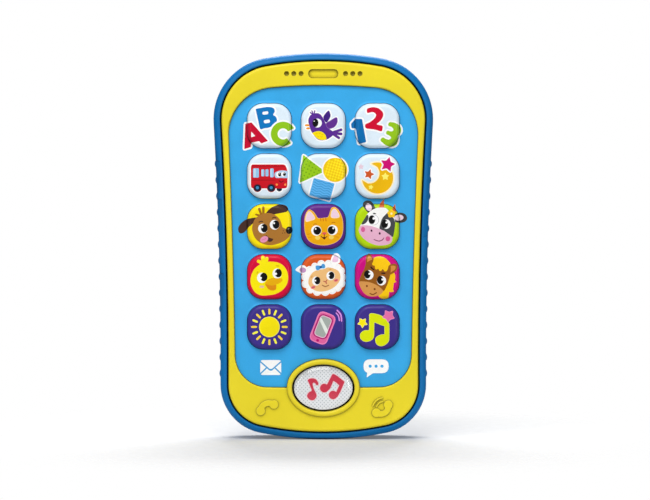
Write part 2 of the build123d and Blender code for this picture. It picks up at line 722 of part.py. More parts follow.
os.makedirs("parts", exist_ok=True)
for piece in PIECES:
    write_step(piece(), piece.__name__)
for name, key_x, key_z in key_places():
    write_step(Pos(key_x, 0, key_z) * key(), f"key_{name}")
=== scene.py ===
"""Looks of the toy cell phone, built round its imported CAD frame.

The casing, the inside and the back keep their CAD shapes and get moulded materials. The printed panel, the
fifteen picture keys and the music button's lens and plate are built here, with their printed pictures cut
into the mesh. Drawings are in millimetres from a key's middle, x to the right and z up, and their colours
are screen values of 0 to 255.
"""

import json
import math

import bpy
import numpy as np
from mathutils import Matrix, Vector
from mathutils.geometry import delaunay_2d_cdt


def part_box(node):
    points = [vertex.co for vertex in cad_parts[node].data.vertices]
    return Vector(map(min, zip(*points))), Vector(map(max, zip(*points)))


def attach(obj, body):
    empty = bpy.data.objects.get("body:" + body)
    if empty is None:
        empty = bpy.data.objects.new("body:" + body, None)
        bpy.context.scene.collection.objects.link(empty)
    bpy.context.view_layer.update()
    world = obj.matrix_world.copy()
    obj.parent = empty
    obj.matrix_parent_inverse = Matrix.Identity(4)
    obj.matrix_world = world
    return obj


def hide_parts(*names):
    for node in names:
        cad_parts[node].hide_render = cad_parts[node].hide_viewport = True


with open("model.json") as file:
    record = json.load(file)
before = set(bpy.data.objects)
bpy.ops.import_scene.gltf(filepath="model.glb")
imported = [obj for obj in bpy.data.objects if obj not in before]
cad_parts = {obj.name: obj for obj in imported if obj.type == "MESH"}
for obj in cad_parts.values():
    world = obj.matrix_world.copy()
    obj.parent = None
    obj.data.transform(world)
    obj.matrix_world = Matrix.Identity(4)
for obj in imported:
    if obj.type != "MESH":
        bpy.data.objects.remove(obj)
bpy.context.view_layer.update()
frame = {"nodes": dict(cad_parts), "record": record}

MM = 0.001

# Key cap, as in the CAD
KEY_HALF = np.array([8.55, 8.65])
KEY_CORNER = 6.2
KEY_EDGE = 1.6
KEY_CROWN = 0.35
KEY_FLANGE_LIP = 0.9
KEY_FLANGE_TOP_Y = -8.3
KEY_FLANGE_BACK_Y = -7.3
KEY_STEM_R = 3.0
KEY_STEM_TIP_Y = -6.2

# Key cap's mesh: steps over its rolled edge in degrees, and pitch, reach and clearance of the grid within
KEY_EDGE_ANGLES = (0, 11, 22, 33, 44, 56, 68, 79, 90)
KEY_GRID = 1.3
KEY_GRID_REACH = 6.5
KEY_GRID_GAP = 0.3

# Share of its colour that a key's side wall keeps, as painted shade down the gap round the key, plain and
# where a picture runs over the edge
WALL_SHADE = 0.4
SPILL_SHADE = 0.8

# Raised lip of the panel round each key, and the shares of its width where the mesh has an edge
LIP_GAP = 0.2
LIP_WIDTH = 1.1
LIP_RISE = 0.36
LIP_STEPS = (0.15, 0.3, 0.5, 0.75, 1.0)

# Printed panel: pitch, ranges and clearance of its mesh grid, and the middles of the two pictures on no key
PANEL_GRID = 4.0
PANEL_COLUMNS = (-34, 34.1)
PANEL_ROWS = (20, 138)
PANEL_GRID_GAP = 1.0
ENVELOPE_AT = (-20.4, 28.1)
BUBBLE_AT = (20.5, 27.9)

# Music button, with the steps round its oval pieces and the pitch of the plate's pattern
LENS_HALF = np.array([11.5, 8.6])
LENS_SAG = 0.8
LENS_EDGE = 1.5
PLATE_HALF = np.array([11.4, 8.5])
PLATE_AIR = 0.06
OVAL_STEPS = 96
FOIL_PITCH = 1.45

# Studio, in metres
SKY_GLOW = 0.26
FLOOR_GLOW = 0.14
FLOOR_HALF = 0.6
FLOOR_FADE = (0.06, 0.17)
CAMERA_TARGET = (0.00066, -0.012, 0.07384)
CAMERA_DISTANCE = 1.6
CAMERA_ELEVATION = math.radians(2.5)
VIEW_WIDTH = 0.2518
LIGHT_AIM = (0, 0, 0.075)

WHITE = (250, 250, 250)
BLACK = (6, 6, 8)
PANEL_BLUE = (56, 168, 230)
PALE_KEY = (220, 235, 246)


def ink(red, green, blue, alpha=1.0):
    """Linear colour from screen values of 0 to 255."""
    def linear(value):
        value /= 255
        return value / 12.92 if value <= 0.04045 else ((value + 0.055) / 1.055) ** 2.4
    return (linear(red), linear(green), linear(blue), alpha)


# ---------------------------------------------------------------- flat shapes

def smooth(points, steps=5, closed=True):
    """Smooth curve through the points."""
    p = np.array(points, float)
    count = len(p)
    curve = []
    for i in range(count if closed else count - 1):
        if closed:
            a, b, c, d = p[i - 1], p[i], p[(i + 1) % count], p[(i + 2) % count]
        else:
            a, b, c, d = p[max(i - 1, 0)], p[i], p[i + 1], p[min(i + 2, count - 1)]
        for k in range(steps):
            t = k / steps
            curve.append(0.5 * (2 * b + (c - a) * t + (2 * a - 5 * b + 4 * c - d) * t ** 2
                                + (3 * b - a - 3 * c + d) * t ** 3))
    if not closed:
        curve.append(p[-1])
    return np.array(curve)


def rounded(points, radius, steps=4):
    """Straight-sided shape with eased corners."""
    p = np.array(points, float)
    outline = []
    for i, at in enumerate(p):
        before, after = p[i - 1] - at, p[(i + 1) % len(p)] - at
        start = at + before * min(0.5, radius / np.linalg.norm(before))
        end = at + after * min(0.5, radius / np.linalg.norm(after))
        for k in range(steps + 1):
            t = k / steps
            outline.append((1 - t) ** 2 * start + 2 * t * (1 - t) * at + t * t * end)
    return np.array(outline)


def turned(shape, angle, x=0.0, z=0.0):
    """Shape turned anticlockwise by an angle in degrees, then moved."""
    c, s = math.cos(math.radians(angle)), math.sin(math.radians(angle))
    return np.asarray(shape, float) @ np.array([[c, s], [-s, c]]) + (x, z)


def unit_circle(steps):
    """Points round a circle of radius 1."""
    a = np.linspace(0, 2 * math.pi, steps, endpoint=False)
    return np.stack([np.cos(a), np.sin(a)], 1)


def oval(x, z, rx, rz=None, tilt=0.0, steps=26):
    """Disc or oval."""
    return turned(unit_circle(steps) * (rx, rz or rx), tilt, x, z)


def box(width, height, corner, x=0.0, z=0.0, tilt=0.0):
    """Rectangle with round corners."""
    w, h = width / 2, height / 2
    return turned(rounded([(-w, -h), (w, -h), (w, h), (-w, h)], corner * 1.2), tilt, x, z)


def star(x, z, outer, inner, first, ease=0.3, points=5):
    """Star with its first tip at an angle in degrees."""
    corners = []
    for k in range(2 * points):
        angle = math.radians(first + 180 * k / points)
        radius = outer if k % 2 == 0 else inner
        corners.append((x + radius * math.cos(angle), z + radius * math.sin(angle)))
    return rounded(corners, ease, 3)


def arc(x, z, radius, start, end, steps=16):
    """Points along an arc, between two angles in degrees."""
    a = np.radians(np.linspace(start, end, steps))
    return np.stack([x + radius * np.cos(a), z + radius * np.sin(a)], 1)


def stroke(points, width, steps=5):
    """Line of even width with round ends, along a smooth curve."""
    line = smooth(points, steps, closed=False)
    along = np.gradient(line, axis=0)
    along /= np.linalg.norm(along, axis=1)[:, None]
    out = np.stack([along[:, 1], -along[:, 0]], 1)
    side, half = out * width / 2, width / 2
    turn = np.radians([-60, -30, 0, 30, 60])[:, None]
    end_cap = line[-1] + half * (along[-1] * np.cos(turn) - out[-1] * np.sin(turn))
    start_cap = line[0] + half * (out[0] * np.sin(turn) - along[0] * np.cos(turn))
    return np.concatenate([line + side, end_cap, (line - side)[::-1], start_cap])


def facing_left(shape):
    """The same closed shape with its points in anticlockwise order."""
    x, z = shape[:, 0], shape[:, 1]
    area = np.sum(x * np.roll(z, -1) - np.roll(x, -1) * z)
    return shape if area > 0 else shape[::-1]


def grown(shape, distance):
    """Outline grown by a distance, with round joins. It may cross itself in hollows, which does no harm."""
    p = facing_left(shape)
    p = p[np.linalg.norm(p - np.roll(p, 1, 0), axis=1) > 1e-6]
    edge = np.roll(p, -1, 0) - p
    edge /= np.linalg.norm(edge, axis=1)[:, None]
    out = np.stack([edge[:, 1], -edge[:, 0]], 1)
    outline = []
    for i, at in enumerate(p):
        before, after = out[i - 1], out[i]
        turn = math.atan2(before[0] * after[1] - before[1] * after[0], float(before @ after))
        start = math.atan2(before[1], before[0])
        pieces = max(1, math.ceil(turn / 0.35)) if turn > 0 else 1
        for k in range(pieces + 1):
            angle = start + turn * k / pieces
            outline.append(at + distance * np.array([math.cos(angle), math.sin(angle)]))
    return np.array(outline)


def inside(shape, points):
    """Which points lie inside a closed shape."""
    result = np.zeros(len(points), bool)
    x, z = points[:, 0], points[:, 1]
    for a, b in zip(shape, np.roll(shape, -1, 0)):
        crosses = (a[1] > z) != (b[1] > z)
        if crosses.any():
            result ^= crosses & (x < (b[0] - a[0]) * (z - a[1]) / (b[1] - a[1]) + a[0])
    return result


def distance_to(shape, points):
    """Distance from each point to the closed outline."""
    best = np.full(len(points), np.inf)
    for a, b in zip(shape, np.roll(shape, -1, 0)):
        edge = b - a
        t = np.clip((points - a) @ edge / max(edge @ edge, 1e-12), 0, 1)
        best = np.minimum(best, np.linalg.norm(points - a - t[:, None] * edge, axis=1))
    return best


class Drawing:
    """Flat drawing: shapes in painting order, each with its colour and the distance it is grown by."""

    def __init__(self, picture=None):
        self.layers = []
        if picture:
            picture(self)

    def rim(self, distance, *shapes, colour=WHITE):
        """Paint shapes grown by a distance, to lie behind all that follows."""
        self.layers += [(np.asarray(shape, float), ink(*colour), distance) for shape in shapes]

    def fill(self, colour, *shapes, rim=0.0, rim_colour=WHITE):
        """Paint shapes in one colour, with a rim of even width round them if asked."""
        if rim:
            self.rim(rim, *shapes, colour=rim_colour)
        self.rim(0.0, *shapes, colour=colour)

    def place(self, picture, x, z):
        """Add the drawing that a picture function makes, moved."""
        self.layers += [(shape + (x, z), colour, grow) for shape, colour, grow in Drawing(picture).layers]

    def outlines(self):
        """Every outline that the mesh must follow."""
        return [grown(shape, grow) if grow else shape for shape, _, grow in self.layers]

    def colours(self, points, ground):
        """Colour of the drawing at each point, over a ground colour."""
        result = np.tile(ground, (len(points), 1))
        for shape, colour, grow in self.layers:
            low, high = shape.min(0) - grow, shape.max(0) + grow
            near = np.where(((points > low) & (points < high)).all(1))[0]
            hit = inside(shape, points[near])
            if grow:
                hit |= distance_to(shape, points[near]) < grow
            result[near[hit]] = colour
        return result


# ---------------------------------------------------------------- pictures on the keys
#
# Each picture is painted from back to front on a Drawing.

def eye(art, white, pupil, glint, ring=None):
    """Cartoon eye: white and pupil as ovals of (x, z, rx, rz), and a glint as a disc of (x, z, radius)."""
    if ring:
        art.fill(ring, oval(*white[:2], white[2] + 0.2, white[3] + 0.2))
    art.fill(WHITE, oval(*white))
    art.fill(BLACK, oval(*pupil))
    art.fill(WHITE, oval(*glint, steps=16))


def letters(art):
    # The curve's own points along the straight spine of the B are left out
    curve = smooth([(-5.3, 6.6), (-2.6, 7.1), (-0.2, 7.35), (1.6, 6.9), (2.15, 5.6), (1.5, 4.3), (2.5, 3.6),
        (3, 2.3), (2.2, 0.8), (0, -0.6), (-1.9, -0.9), (-3.6, -1.1), (-4.5, 2.8)], 3)
    b_shape = np.concatenate([[(-5.3, 6.6)], curve[3:33], [(-3.6, -1.1)]])
    art.fill((0, 116, 188), b_shape, rim=0.65)
    art.fill(WHITE, box(2.3, 1.15, 0.5, -1.5, 5, 8), box(2.4, 1.3, 0.6, -0.9, 1.75, 8))
    a_shape = rounded([(-9.3, 0.8), (-6.9, 1.4), (-0.5, -5.8), (-3.1, -6.8), (-3.9, -5.9), (-7, -6.5),
        (-7.2, -8.3), (-9.7, -9)], 0.25, 2)
    art.fill((198, 0, 46), a_shape, rim=0.65)
    art.fill(WHITE, rounded([(-7, -2.2), (-5.4, -3.9), (-7, -4.4)], 0.2, 2))
    c_shape = np.concatenate([arc(5.35, -3.1, 4.75, 27, 311, 30), arc(5.35, -3.1, 2.15, 311, 27, 20)])
    art.fill((143, 195, 22), rounded(c_shape, 0.2, 1), rim=0.65)


def numbers(art):
    two = [(-4.1, 6.8), (-1.5, 7.35), (0.5, 6.9), (2, 5.6), (2.4, 4.4), (2, 3), (0.9, 1.6), (-0.3, 0.8),
        (-0.1, 0.5), (2.2, 0.1), (1.8, -2.3), (-0.9, -1.4), (-4.6, -1), (-4.9, 0.6), (-2.9, 1.4), (-1.2, 2.7),
        (-0.4, 4), (-0.7, 4.9), (-1.7, 5.4), (-2.8, 5.2), (-4, 4.8)]
    art.fill((208, 0, 46), rounded(two, 0.8), rim=0.65)
    one = [(-8.5, 2.7), (-5.9, 2.7), (-4.3, -6.3), (-7.2, -7), (-8.4, -0.9), (-9.9, -1), (-10.2, 0.8)]
    art.fill((0, 108, 176), rounded(one, 0.35, 2), rim=0.65)
    three = [(4.5, 1.6), (6.7, 1.3), (8.6, 0.3), (9.4, -1.5), (9, -2.9), (7.9, -3.9), (8.1, -5), (7.9, -6.6),
        (6.9, -7.8), (5.1, -8.2), (3.3, -7.6), (0.9, -5.5), (2.2, -4.2), (3.2, -5.1), (4.5, -5.4),
        (5.4, -4.8), (5.1, -4), (3.1, -3), (3.8, -1.6), (5.2, -2.2), (6.2, -1.9), (6.2, -1), (5.4, -0.3),
        (4, 0)]
    art.fill((150, 198, 22), rounded(three, 0.8), rim=0.65)


def bird(art):
    body = smooth([(-5.8, 2.3), (-5, 4.1), (-3.3, 4.9), (-1.5, 4.7), (-0.3, 3.4), (0.8, 1.2), (1.9, -0.7),
        (3.9, -2.4), (4, -3.3), (2.7, -4.5), (1.2, -5.3), (-0.6, -5.6), (-2.3, -5.1), (-3.9, -3.3),
        (-4.9, -1.5), (-5.5, 0.3)])
    high_wing = smooth([(0, 3.2), (0.9, 4.9), (2.1, 5.9), (2.8, 4.2), (2.4, 2.8), (1.1, 1.3)])
    low_wing = smooth([(1.1, 0.8), (3, 2.1), (5, 3.2), (5.4, 2), (5.1, 0.8), (4.3, -0.3), (3, -0.9),
        (1.9, -0.8)])
    tail = [stroke([(3.2, -2.7), end], 1.05) for end in ((6.9, -1.5), (6.9, -3.1), (6, -4.6))]
    beak = [oval(-6.2, 0.25, 0.95, 0.4), oval(-5.9, -0.95, 0.75, 0.4)]
    crest = [stroke([(-4, 4.3), (-5, 5.2)], 0.45), stroke([(-3.9, 4.5), (-4.4, 5.8)], 0.45),
        stroke([(-3.6, 4.5), (-3.3, 5.8)], 0.45)]
    art.rim(0.5, body, high_wing, low_wing, *tail, *crest, *beak)
    art.fill((92, 44, 142), *tail, *crest)
    art.fill((60, 26, 125), high_wing)
    art.fill((88, 40, 145), body)
    art.fill((96, 44, 142), low_wing, rim=0.16, rim_colour=(136, 96, 176))
    belly = smooth([(-4.2, -2.8), (-3, -2.2), (-1.8, -2), (-0.5, -2.3), (0.6, -3.2), (1.1, -4.3), (1.1, -5.2),
        (-0.6, -5.45), (-2.2, -4.95), (-3.5, -3.7)])
    art.fill((250, 222, 0), belly)
    for x, z in ((-2.6, -2.9), (-1.4, -2.8), (-0.3, -3.2), (-1.9, -3.9), (-0.7, -4.1)):
        art.fill((215, 175, 0), stroke([(x - 0.3, z), (x, z - 0.25), (x + 0.3, z)], 0.16, 3))
    art.fill((235, 150, 20), *beak)
    eye(art, (-2.3, 1.1, 1.75, 1.75), (-3.05, 1.2, 1.15, 1.6), (-3.5, 1.85, 0.2))


def bus(art):
    body = rounded([(-7.1, -4.7), (6.9, -4.7), (7.1, -0.9), (7.1, 1.9), (6.6, 3.6), (6, 4.6), (-7.1, 4.6)],
        1.1)
    wheels = [oval(-4.6, -4.5, 1.35), oval(0.75, -4.5, 1.4)]
    far_wheel = oval(3.9, -4.75, 1.1)
    art.rim(0.5, body, far_wheel, *wheels)
    art.fill((20, 30, 50), far_wheel)
    art.fill((204, 14, 32), body)
    art.fill((168, 8, 26), box(9.2, 0.35, 0.15, -2.4, -1.5), box(13, 0.3, 0.15, -0.3, 3.9))
    glass = (150, 200, 236)
    art.fill(glass, box(2.3, 3.6, 0.4, -5.15, 1.3), box(1.2, 2.7, 0.3, -2.5, 1.35),
        box(1.2, 2.7, 0.3, -0.9, 1.35), box(1.4, 3.5, 0.4, 1, 1.35))
    art.fill((196, 222, 242), box(0.7, 3.2, 0.3, -5.6, 1.3), box(0.4, 2.3, 0.15, -2.75, 1.35),
        box(0.4, 3.1, 0.15, 0.7, 1.35))
    screen = smooth([(2.1, 1.2), (3.4, 2), (5, 2.3), (7.1, 1.9), (7.15, 0.6), (7.1, -0.6), (4.7, -0.6),
        (2.4, -0.5)], 4)
    art.fill((178, 205, 232), screen)
    for x, z, r in ((3.7, 0.7, 1.05), (5.5, 0.8, 0.95)):
        eye(art, (x, z, r, r), (x + 0.35, z + 0.02, r * 0.62, r * 0.72), (x + 0.15, z + 0.3, 0.16))
    art.fill((95, 5, 20), stroke([(3.8, -1.7), (4.6, -2.25), (5.4, -1.8)], 0.32))
    art.fill((255, 150, 70), oval(2.9, -3.2, 0.42), oval(6.2, -3.2, 0.42))
    art.fill((20, 30, 50), *wheels, rim=0.25, rim_colour=(150, 8, 26))
    art.fill((60, 140, 192), oval(-4.6, -4.4, 0.6), oval(0.75, -4.4, 0.6))


def shapes(art):
    square = rounded([(-3.7, -0.6), (4.4, -2.8), (2.5, -9.6), (-5.5, -7.3)], 0.4, 2)
    art.fill((92, 178, 236), square, rim=0.5)
    # Waves across the square
    along = np.linspace(0.3, 7.9, 26)
    wave = np.stack([along, 0.22 * np.sin(2 * math.pi * along / 2.9)], 1)
    side = turned([(0, 0.14)], -15.5)[0]
    for k in range(7):
        line = turned(wave, -15.5, -3.85 - 0.25 * k, -1.3 - 0.92 * k)
        art.fill((52, 142, 208), np.concatenate([line - side, (line + side)[::-1]]))
    triangle = rounded([(-7.8, 8.3), (-9.2, -2.6), (0.7, 1.9)], 0.6)
    art.fill((150, 200, 20), triangle, rim=0.55)
    # Spots, on a grid that is turned in the triangle
    for i in range(-5, 6):
        for j in range(-5, 6):
            spot = oval(-7.3 + 1.25 * i + 0.62 * j, 3.4 - 0.62 * i + 1.25 * j, 0.3, steps=10)
            if inside(triangle, spot).all():
                art.fill((112, 162, 12), spot)
    circle = oval(4.6, 2.5, 4.7, steps=48)
    art.fill((242, 200, 0), circle, rim=0.5)
    # Chequers in the circle
    for i in range(-6, 7):
        for j in range(-6, 7):
            corners = np.array([(i, j), (i + 1, j), (i + 1, j + 1), (i, j + 1)])
            tile = turned(0.75 * corners, 28, 4.6, 2.5)
            if (i + j) % 2 == 0 and inside(circle, tile).all():
                art.fill((255, 228, 30), tile)


def moon(art):
    # Crescent between two circles of (x, z, radius), with the angles at which each meets the other
    outer, bite = (0.1, -0.65, 6.05), (-3, 1.1, 3.85)
    across, up = bite[0] - outer[0], bite[1] - outer[1]
    apart, towards = math.hypot(across, up), math.degrees(math.atan2(up, across))
    half = math.degrees(math.acos((apart ** 2 + outer[2] ** 2 - bite[2] ** 2) / (2 * apart * outer[2])))
    inner = math.degrees(math.acos((apart ** 2 + bite[2] ** 2 - outer[2] ** 2) / (2 * apart * bite[2])))
    crescent = np.concatenate([arc(*outer, towards + half, towards + 360 - half, 44),
        arc(*bite, towards + 360 - inner, towards + inner, 26)])
    art.fill((238, 184, 0), crescent, rim=0.55, rim_colour=(255, 244, 205))
    art.fill((255, 244, 110), star(3.1, -0.1, 1.65, 0.85, 90), star(-2.5, -4.2, 1.1, 0.55, 80))
    art.fill((204, 0, 112), star(4, 4.6, 3.05, 1.55, 4, 0.4), rim=0.5)
    art.fill((206, 86, 32), star(-3.2, 0.8, 2.1, 1.05, 2), rim=0.4)
    art.fill((228, 200, 215), star(-6.3, 3.7, 1.25, 0.62, 20, 0.2))


def dog(art):
    fur, dark = (172, 116, 46), (72, 44, 36)
    art.fill((160, 106, 24), stroke([(-3, 4.2), (-3.9, 6.9)], 0.95), stroke([(-2.3, 4.5), (-2.3, 7.4)], 0.95),
        stroke([(-3.4, 4.2), (-5.1, 4.7)], 0.75))
    upper_ear = smooth([(-1.2, 5.2), (0.4, 7.1), (2.2, 8.1), (4.5, 8.6), (6.4, 8.1), (7.3, 6.9), (6.9, 5.9),
        (5.6, 5.5), (3, 5), (0.8, 4.6)])
    lower_ear = smooth([(-4.9, 3.4), (-7.5, 3.2), (-9.6, 2.4), (-11.3, 0.9), (-12.1, -0.7), (-11.8, -2.3),
        (-10.8, -2.7), (-9.4, -2), (-7.9, -0.1), (-6.3, 1.3)])
    art.fill(dark, upper_ear, lower_ear)
    head = smooth([(-5.2, 3.4), (-6.4, 1), (-6.6, -1.5), (-5.6, -4.2), (-3.8, -6), (-1, -7.1), (1.5, -7.1),
        (4.5, -6.2), (6.8, -4.8), (8, -3.1), (6.4, -0.9), (5.2, -0.2), (4.9, 0.6), (4.3, 2.3), (3.2, 3.8),
        (1.5, 4.9), (-0.5, 5.3), (-2.5, 5)])
    art.fill(fur, head)
    eye(art, (-2.5, -0.7, 1.85, 1.85), (-1.95, -0.6, 1.3, 1.65), (-2.75, -0.15, 0.36))
    eye(art, (2.05, 0.75, 1.88, 1.9), (2.6, 0.8, 1.3, 1.65), (1.85, 1.35, 0.36))
    art.fill(dark, stroke([(-4, 1.7), (-3.3, 2.05), (-2.6, 2)], 0.4),
        stroke([(1.2, 3.35), (1.9, 3.6), (2.6, 3.4)], 0.4))
    art.fill(BLACK, oval(7.7, -1.4, 1.3, 1.45))
    art.fill((120, 120, 125), oval(7.4, -0.8, 0.4, 0.25, 20, 12))
    art.fill(dark, *[oval(x, z, 0.2, steps=10) for x, z in ((5.4, -1.6), (5.1, -2.5), (6, -2.4))])
    mouth = smooth([(-1.4, -3.2), (-0.3, -4.1), (0.4, -4.4), (1.5, -4.8), (0.9, -5.7), (-0.5, -5.7)])
    art.fill(dark, mouth)
    art.fill((232, 148, 184), oval(-2, -4.9, 1.65, 1.15, 25))
    art.fill((208, 100, 150), stroke([(-2.8, -5.2), (-1.3, -4.6)], 0.2))


def cat(art):
    face = smooth([(-7.2, 0), (-6.9, -2.5), (-5.8, -5), (-3.6, -6.5), (0, -7.1), (3.6, -6.5), (6.3, -4.7),
        (7.4, -2.2), (7.6, 0.5), (7.3, 3), (6.4, 5.4), (5.3, 6.9), (4.1, 7.5), (3.1, 6.9), (2.5, 5),
        (1.8, 3.6), (0, 3.3), (-2, 3.2), (-2.9, 4.4), (-4, 5.8), (-5.3, 6.5), (-6.2, 5.8), (-6.9, 4.2),
        (-7.2, 2)])
    art.fill((238, 170, 0), face, rim=0.14, rim_colour=(250, 205, 110))
    pink, cream = (236, 205, 222), (252, 228, 170)
    left_ear = smooth([(-6.6, 2.2), (-6.5, 4.2), (-5.5, 5.8), (-4.4, 5), (-3.4, 3.2), (-5, 2.5)])
    right_ear = smooth([(3.1, 3.9), (3.4, 6), (4.2, 6.8), (5.2, 6), (6.1, 4), (4.6, 3.5)])
    art.fill(pink, left_ear, right_ear, rim=0.25, rim_colour=cream)
    for x in (-1.1, -0.1, 0.9):
        art.fill((214, 128, 8), stroke([(x, 3.2), (x + 0.15, 2.3)], 0.5))
    for x, z, way in ((-6.2, -3, 1), (-5.7, -4.2, 1), (6.4, -2.9, -1), (5.9, -4.1, -1)):
        art.fill((222, 142, 0), stroke([(x, z), (x + 1.1 * way, z + 0.2)], 0.35))
    eye(art, (-2.7, -1.5, 2, 2), (-2.35, -1.55, 1.5, 1.58), (-2.95, -0.85, 0.32))
    eye(art, (3.6, -1.3, 2, 2), (3.2, -1.35, 1.5, 1.58), (3.85, -0.6, 0.32))
    art.fill((190, 110, 0), stroke([(-3.7, 0.85), (-3.1, 1.1), (-2.5, 0.95)], 0.32),
        stroke([(3.3, 1.45), (3.9, 1.7), (4.5, 1.55)], 0.32))
    art.fill((246, 212, 92), oval(-2.2, -4.3, 0.95, 0.8), oval(3.1, -4.1, 0.95, 0.8))
    art.fill((224, 88, 88), oval(0.4, -2.6, 0.9, 0.48))
    art.fill((90, 30, 14), stroke([(0.4, -3), (0.4, -3.9)], 0.26),
        stroke([(-0.8, -3.8), (0.3, -4.5), (1.4, -3.8)], 0.3), smooth([(-0.3, -4.1), (1, -4.1), (0.4, -5)]))


def cow(art):
    dark, patch, pink = (58, 58, 60), (70, 72, 75), (236, 210, 225)
    left_horn = rounded([(0.5, 6.8), (1, 8.8), (2.6, 10.7), (2.7, 6.9)], 0.3, 2)
    right_horn = rounded([(5.6, 5.8), (6, 7.4), (7, 8.8), (7.3, 5.4)], 0.3, 2)
    art.fill((206, 100, 44), left_horn, right_horn)
    left_ear = smooth([(-5.6, 8.2), (-5.2, 9.5), (-3.8, 10.1), (-2.2, 9.6), (-1.2, 8.2), (-0.8, 7),
        (-1.5, 6.3), (-3.2, 5.3), (-4.6, 6.6)])
    right_ear = smooth([(5.8, 3.2), (7, 4.8), (8.8, 5.4), (10.8, 4.8), (11.6, 3.2), (10.8, 1.9), (8.8, 1.4),
        (6.6, 2)])
    art.fill(dark, left_ear, right_ear)
    art.fill(pink, oval(-3.3, 7.5, 1.15, 1.5, 25), oval(8.4, 3.45, 1.8, 1.15))
    head = smooth([(-6.6, -0.5), (-6, 1.2), (-4.6, 3.6), (-3.4, 5.4), (-1.2, 6.9), (1.2, 7.4), (3.4, 7.1),
        (4.8, 5.6), (6.6, 3.5), (6.9, 1.5), (6.6, -1.5), (5.9, -4), (4, -6), (-4, -5)])
    art.fill((248, 248, 245), head)
    cheek_patch = smooth([(-6.1, 1), (-4.9, 3.2), (-3.9, 4.6), (-3.4, 3.8), (-3.8, 2.2), (-4.9, 1.1)])
    eye_patch = smooth([(0.9, -0.9), (1.2, 1.2), (1.9, 3.2), (3.2, 4.7), (4.2, 5.4), (5.7, 4), (6.7, 2.6),
        (6.9, 1), (6.5, -2.2), (5.9, -4), (4.2, -2.7), (2.4, -1.5)])
    art.fill(patch, cheek_patch, eye_patch)
    muzzle = smooth([(-6.3, 0.4), (-4, 0.5), (-1.5, 0), (1.2, -1), (3.6, -2.3), (5.5, -3.8), (5.8, -5.2),
        (4.8, -6.6), (2.5, -7.2), (0, -7.2), (-3, -6.2), (-5.5, -4.4), (-7, -2.2), (-7.1, -0.8)])
    art.fill((230, 176, 202), muzzle)
    art.fill((214, 92, 148), oval(-5.5, -1.1, 0.8, 1), oval(4.1, -4.7, 0.9, 1))
    art.fill((72, 32, 56), oval(-2.25, -1.55, 0.36, 0.45), oval(0.95, -2.6, 0.4, 0.5))
    art.fill((128, 60, 92), stroke([(-1.2, -5), (0.6, -5.6), (2, -5.1), (2.5, -4.4)], 0.36))
    grey = (190, 192, 196)
    eye(art, (-1.4, 2.6, 1.85, 1.85), (-2.1, 2.7, 1.3, 1.7), (-1.35, 3.2, 0.48), grey)
    eye(art, (3.55, 1, 1.6, 1.85), (2.85, 1.1, 1.3, 1.65), (3.6, 1.65, 0.44))
    art.fill(dark, oval(-1.1, 5.1, 0.65, 0.25, -10, 14))
    flower = (5.5, 5.05)
    petals = [oval(*petal, 0.72, steps=16) for petal in arc(*flower, 0.95, 18, 306, 5)]
    art.fill((250, 200, 20), *petals)
    art.fill((255, 244, 190), oval(*flower, 0.42, steps=16))


def duck(art):
    yellow = (250, 232, 0)
    tuft = [stroke([(-2.4, 4.4), (-3.3, 5.6), (-4.2, 6.1)], 1.1), stroke([(-2.3, 4.4), (-2.5, 7.5)], 1.3),
        stroke([(-1.6, 4.6), (-1, 7.1)], 1.2)]
    head = smooth([(-4, 4.5), (-5.6, 3.2), (-6.7, 1.2), (-7.2, -0.8), (-7, -3), (-6, -5.2), (-4.6, -6.5),
        (-2.8, -7.1), (-0.5, -7), (2, -6.6), (4.2, -5.6), (5.8, -4.2), (6.8, -2.5), (7.2, -0.3), (6.9, 1.8),
        (6, 3.6), (4.6, 4.9), (3, 5.6), (1, 5.85), (-0.8, 5.8), (-2.6, 5.4)])
    art.fill(yellow, *tuft, head, rim=0.12, rim_colour=(255, 190, 60))
    eye(art, (-2.95, -0.3, 1.8, 2), (-2.15, 0, 1.4, 1.65), (-3.35, -0.4, 0.48))
    eye(art, (3.05, 1.35, 1.8, 1.95), (3.5, 1.5, 1.35, 1.65), (2.5, 1.25, 0.48))
    lower_bill = smooth([(-1.6, -2.6), (-1, -3.9), (-0.1, -4.9), (1.3, -5.3), (2.5, -4.8), (2.7, -3.8),
        (2.4, -2.6), (0.5, -2.4)])
    art.fill((226, 142, 10), lower_bill)
    upper_bill = smooth([(-1.6, -2.6), (-1.2, -1.7), (-0.2, -0.8), (1.5, -0.4), (3, -0.5), (4.6, -0.5),
        (5.1, -1.1), (4.4, -2.1), (3, -2.8), (1.2, -3.3), (-0.2, -3.1)])
    art.fill((236, 176, 0), upper_bill)
    art.fill((232, 188, 160), oval(-2.9, -3.8, 0.95, 0.5))
    art.fill((224, 190, 0), oval(-4.6, 1.7, 0.3, 0.55, -25, 14), oval(3.2, 4.3, 0.75, 0.3, -10, 14))


